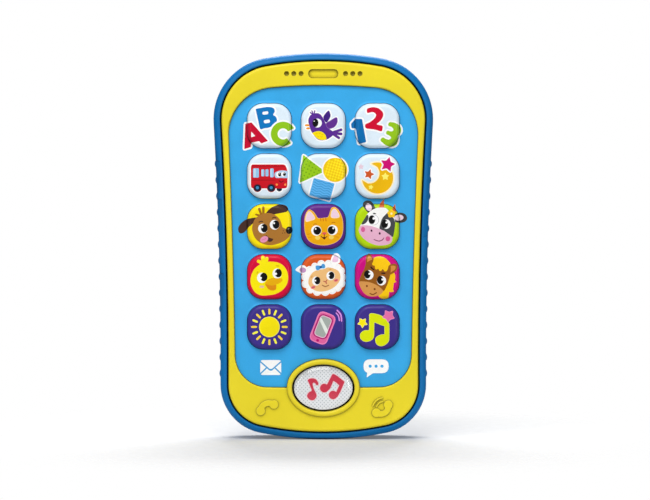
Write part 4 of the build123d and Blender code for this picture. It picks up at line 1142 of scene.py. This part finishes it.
def printed(name, rough, coat, shadow_mm):
    """Printed plastic: the drawing's inks, a little uneven, under a thin varnish, with painted shade in the
    gaps and on sides that face down.
    """
    material, tree = new_material(name)
    drawn = node(tree, "Attribute", attribute_name="ink").outputs["Color"]
    fleck = maths(tree, "MULTIPLY", uneven(tree, 0.95, 1.03, 9.0, 2.0), uneven(tree, 0.965, 1.02, 0.35, 1.0))
    toned = node(tree, "VectorMath", {0: drawn, "Scale": fleck}, operation="SCALE").outputs["Vector"]
    # Painted shade: the inks are darkened towards deep blue on sides that face down and where ambient
    # occlusion finds gaps, most where both hold
    facing = node(tree, "SeparateXYZ", {0: node(tree, "NewGeometry").outputs["Normal"]}).outputs["Z"]
    down_facing_shade = remap(tree, facing, 1.0, 0.25, -0.5, 0.1)
    closed = remap(tree, openness(tree, shadow_mm), 1.0, 0.0, 0.3, 0.92)
    toned = blend(tree, maths(tree, "MULTIPLY", down_facing_shade, closed), toned, (0.1, 0.15, 0.32, 1), "MULTIPLY")
    surface(tree, toned, uneven(tree, rough - 0.06, rough + 0.08, 2.5), noise(tree, 1.4, 2.0), 0.004,
            {"Coat Weight": coat, "Coat Roughness": 0.2, "Specular IOR Level": 0.2, "IOR": 1.45})
    return material


def silver_foil(name):
    """Silver print with a fine diamond pattern, and the drawing's inks where they have been painted."""
    material, tree = new_material(name)
    drawn = node(tree, "Attribute", attribute_name="ink").outputs
    axes = node(tree, "SeparateXYZ", {0: own_space(tree)}).outputs
    waves = []
    for sign in (1, -1):
        diagonal = maths(tree, "ADD", axes["X"], maths(tree, "MULTIPLY", axes["Z"], sign))
        phase = maths(tree, "MULTIPLY", diagonal, 2 * math.pi / (FOIL_PITCH * MM))
        waves.append(maths(tree, "SINE", phase))
    dots = remap(tree, maths(tree, "ADD", *waves), 0.0, 1.0, 0.7, 1.7)
    foil = blend(tree, dots, ink(246, 248, 250), ink(176, 182, 190))
    foil = blend(tree, uneven(tree, 0.0, 0.3, 5.0), foil, ink(222, 225, 228))
    painted = blend(tree, drawn["Alpha"], foil, drawn["Color"])
    bare = remap(tree, drawn["Alpha"], 0.1, 0.0, 0.0, 1.0)
    surface(tree, painted, uneven(tree, 0.34, 0.46, 1.0), maths(tree, "MULTIPLY", dots, -0.5), 0.02,
            {"Metallic": bare})
    return material


def clear_dome(name):
    """Clear glossy plastic: see-through face on, bright where it turns away, with a faint haze of scuffs."""
    material, tree = new_material(name)
    bump = node(tree, "Bump", {"Height": noise(tree, 6.0, 1.0), "Distance": 0.002 * MM, "Strength": 1.0})
    normal = bump.outputs["Normal"]
    gloss = node(tree, "BsdfGlossy", {"Color": (1, 1, 1, 1), "Roughness": uneven(tree, 0.05, 0.09, 1.2, 4.0),
                                      "Normal": normal})
    clear = node(tree, "BsdfTransparent", {"Color": (0.99, 0.992, 0.995, 1)})
    mirror = node(tree, "Fresnel", {"IOR": 1.75, "Normal": normal}).outputs["Fac"]
    front = maths(tree, "SUBTRACT", 1.0, node(tree, "NewGeometry").outputs["Backfacing"])
    share = maths(tree, "MULTIPLY", mirror, front)
    both = node(tree, "MixShader", {0: share, 1: clear.outputs[0], 2: gloss.outputs[0]})
    node(tree, "OutputMaterial", {"Surface": both.outputs[0]})
    return material


def rubber(name, colour):
    """Silicone sheet: soft, matt and slightly dusty."""
    material, tree = new_material(name)
    colour = ink(*colour)
    toned = blend(tree, uneven(tree, 0.0, 0.25, 2.2, 4.0), colour, scaled(colour, 0.8))
    surface(tree, toned, uneven(tree, 0.6, 0.75, 1.0), noise(tree, 0.3), 0.01, scatter(0.2))
    return material


def metal(name, colour, rough, brushed_mm=0.25, depth_mm=0.003):
    """Plated or turned metal with fine tool marks."""
    material, tree = new_material(name)
    colour = ink(*colour)
    marks = noise(tree, brushed_mm, 5.0)
    toned = blend(tree, uneven(tree, 0.0, 0.35, 4.0), colour, scaled(colour, 0.7))
    surface(tree, toned, remap(tree, marks, rough - 0.08, rough + 0.1), marks, depth_mm, {"Metallic": 1.0})
    return material


def circuit_board(name):
    """Green solder mask over copper tracks, which run along the joints of a brick pattern."""
    material, tree = new_material(name)
    cells = node(tree, "TexBrick", {"Vector": own_space(tree), "Scale": 160.0, "Mortar Size": 0.03,
                                    "Color1": (0, 0, 0, 1), "Color2": (0.3, 0.3, 0.3, 1),
                                    "Mortar": (1, 1, 1, 1)}).outputs
    toned = blend(tree, cells["Color"], ink(20, 96, 52), ink(46, 140, 78))
    surface(tree, toned, uneven(tree, 0.25, 0.4, 2.0), cells["Fac"], 0.02)
    return material


def wrapped_cell(name):
    """Printed sleeve on a battery, dark below a height of 60 mm and in one colour above."""
    material, tree = new_material(name)
    height = node(tree, "SeparateXYZ", {0: own_space(tree)}).outputs["Z"]
    band = remap(tree, height, 0.0, 1.0, 60.0 * MM, 60.2 * MM)
    toned = blend(tree, band, ink(34, 38, 46), ink(196, 120, 52))
    surface(tree, toned, uneven(tree, 0.2, 0.35, 1.5), noise(tree, 0.6), 0.006, {"Coat Weight": 0.6})
    return material


def paper_cone(name):
    """Pressed paper with short fibres."""
    material, tree = new_material(name)
    fibre = noise(tree, 0.25, 6.0, 0.7)
    toned = blend(tree, remap(tree, fibre, 0.0, 1.0), ink(28, 27, 26), ink(60, 57, 54))
    surface(tree, toned, 0.85, fibre, 0.03)
    return material


def lamp(name):
    """Frosted white lamp."""
    material, tree = new_material(name)
    haze = noise(tree, 0.6, 2.0)
    toned = blend(tree, remap(tree, haze, 0.0, 1.0), ink(232, 234, 224), ink(250, 250, 240))
    surface(tree, toned, 0.25, haze, 0.004, scatter(0.4))
    return material


MATERIALS = {
    "blue_shell": moulded("blue_shell", (0, 110, 176), rough=0.48, coat=0.0, wear=0.1),
    "yellow_shell": moulded("yellow_shell", (233, 214, 40), rough=0.42, coat=0.08, wear=0.15, shade_reach_mm=1.6),
    # Painted shade: the carrier, white plastic in the CAD, is coloured near black so the gaps it shows
    # through read dark
    "white_plastic": moulded("shade_dark_carrier_plastic", (24, 24, 26), rough=0.5, coat=0.0),
    "black_plastic": moulded("black_plastic", (24, 24, 27), rough=0.45, coat=0.0),
    "silicone": rubber("silicone", (196, 198, 200)),
    "carbon": rubber("carbon", (26, 26, 28)),
    "board": circuit_board("board"),
    "resin": moulded("resin", (16, 16, 18), rough=0.2, grain_mm=1.2, coat=0.6, wear=0.0),
    "ceramic": moulded("ceramic", (170, 150, 120), rough=0.4, coat=0.0),
    "capacitor_sleeve": moulded("capacitor_sleeve", (30, 44, 92), rough=0.3, coat=0.4),
    "lamp": lamp("lamp"),
    "steel": metal("steel", (188, 190, 194), 0.35),
    "screw_steel": metal("screw_steel", (176, 178, 180), 0.3, 0.4, 0.006),
    "nickel": metal("nickel", (204, 200, 190), 0.28),
    "cone_paper": paper_cone("cone_paper"),
    "cell_wrap": wrapped_cell("cell_wrap"),
    "wire_red": rubber("wire_red", (190, 24, 28)),
    "wire_black": rubber("wire_black", (24, 24, 26)),
}


def dress_cad_nodes():
    """Give every CAD node that stays the material of its slot."""
    slots = {row["node"]: row["material_slot"] for row in frame["record"]["subparts"]}
    for name, obj in frame["nodes"].items():
        if slots[name] in MATERIALS:
            for slot in obj.material_slots:
                slot.material = MATERIALS[slots[name]]


# ---------------------------------------------------------------- stage

def look_at(obj, target):
    """Point a lamp or a camera at a place."""
    obj.rotation_mode = "QUATERNION"
    obj.rotation_quaternion = (Vector(target) - obj.location).to_track_quat("-Z", "Y")


def softbox(name, place, target, width, height, power):
    """Rectangular lamp aimed at a point."""
    light = bpy.data.lights.new(name, "AREA")
    light.shape = "RECTANGLE"
    light.size, light.size_y = width, height
    light.energy = power
    made = add_object(name, light)
    made.location = place
    look_at(made, target)


def build_lights():
    """Lamps in front and at both sides, one above, and one behind that throws the shadow forwards."""
    softbox("top_softbox", (-0.10, -0.34, 0.56), LIGHT_AIM, 0.42, 0.22, 2.2)
    softbox("back_softbox", (0.02, 0.30, 0.50), (0, -0.05, 0), 0.34, 0.22, 3.0)
    softbox("front_softbox", (-0.15, -1.2, 0.80), LIGHT_AIM, 0.6, 0.4, 3.85)
    softbox("left_strip", (-0.60, -0.75, 0.25), LIGHT_AIM, 0.12, 0.6, 1.1)
    softbox("right_softbox", (0.60, -0.75, 0.12), LIGHT_AIM, 0.22, 0.30, 1.5)


def build_floor():
    """White floor that fades into the backdrop away from the phone, so only its soft shadow shows."""
    mesh = bpy.data.meshes.new("floor")
    corners = [(x * FLOOR_HALF, y * FLOOR_HALF, 0) for x, y in ((-1, -1), (1, -1), (1, 1), (-1, 1))]
    mesh.from_pydata(corners, [], [(0, 1, 2, 3)])
    material, tree = new_material("pale_floor")
    toned = blend(tree, uneven(tree, 0.0, 1.0, 4.0), (0.6, 0.6, 0.6, 1), (0.63, 0.63, 0.63, 1))
    diffuse = node(tree, "BsdfDiffuse", {"Color": toned})
    strength = maths(tree, "MULTIPLY", node(tree, "LightPath").outputs["Is Camera Ray"], FLOOR_GLOW)
    glow = node(tree, "Emission", {"Color": (1, 1, 1, 1), "Strength": strength})
    lit = node(tree, "AddShader", {0: diffuse.outputs[0], 1: glow.outputs[0]})
    reach = node(tree, "VectorMath", {0: own_space(tree)}, operation="LENGTH").outputs["Value"]
    fade = remap(tree, reach, 0.0, 1.0, *FLOOR_FADE, interpolation_type="SMOOTHSTEP")
    clear = node(tree, "BsdfTransparent")
    both = node(tree, "MixShader", {0: fade, 1: lit.outputs[0], 2: clear.outputs[0]})
    node(tree, "OutputMaterial", {"Surface": both.outputs[0]})
    mesh.materials.append(material)
    add_object("floor", mesh)


def build_sky():
    """White backdrop for the camera, and a softer glow for the light it casts."""
    world = bpy.data.worlds.new("studio")
    bpy.context.scene.world = world
    world.use_nodes = True
    tree = world.node_tree
    tree.nodes.clear()
    seen = node(tree, "Background", {"Color": (1, 1, 1, 1), "Strength": 1.0})
    cast = node(tree, "Background", {"Color": (1, 1, 1, 1), "Strength": SKY_GLOW})
    camera_ray = node(tree, "LightPath").outputs["Is Camera Ray"]
    both = node(tree, "MixShader", {0: camera_ray, 1: cast.outputs[0], 2: seen.outputs[0]})
    node(tree, "OutputWorld", {"Surface": both.outputs[0]})


def build_camera():
    """Long lens, nearly level, framed so that the phone fills the picture."""
    data = bpy.data.cameras.new("camera")
    camera = add_object("camera", data)
    back, up = -math.cos(CAMERA_ELEVATION), math.sin(CAMERA_ELEVATION)
    camera.location = Vector(CAMERA_TARGET) + CAMERA_DISTANCE * Vector((0, back, up))
    look_at(camera, CAMERA_TARGET)
    data.sensor_width = 36.0
    data.lens = data.sensor_width * CAMERA_DISTANCE / VIEW_WIDTH
    data.clip_start, data.clip_end = 0.05, 20.0
    bpy.context.scene.camera = camera


# ---------------------------------------------------------------- build

key_plastic = printed("printed_key", 0.4, 0.12, 1.3)
panel_film = printed("printed_film", 0.5, 0.0, 2.2)
dress_cad_nodes()
for key_name in KEYS:
    build_key(key_name, key_plastic)
build_panel(panel_film)
build_plate(silver_foil("silver_foil"))
build_lens(clear_dome("clear_dome"))
build_floor()
build_sky()
build_lights()
build_camera()
bpy.context.scene.view_settings.view_transform = "Standard"

bpy.context.view_layer.update()
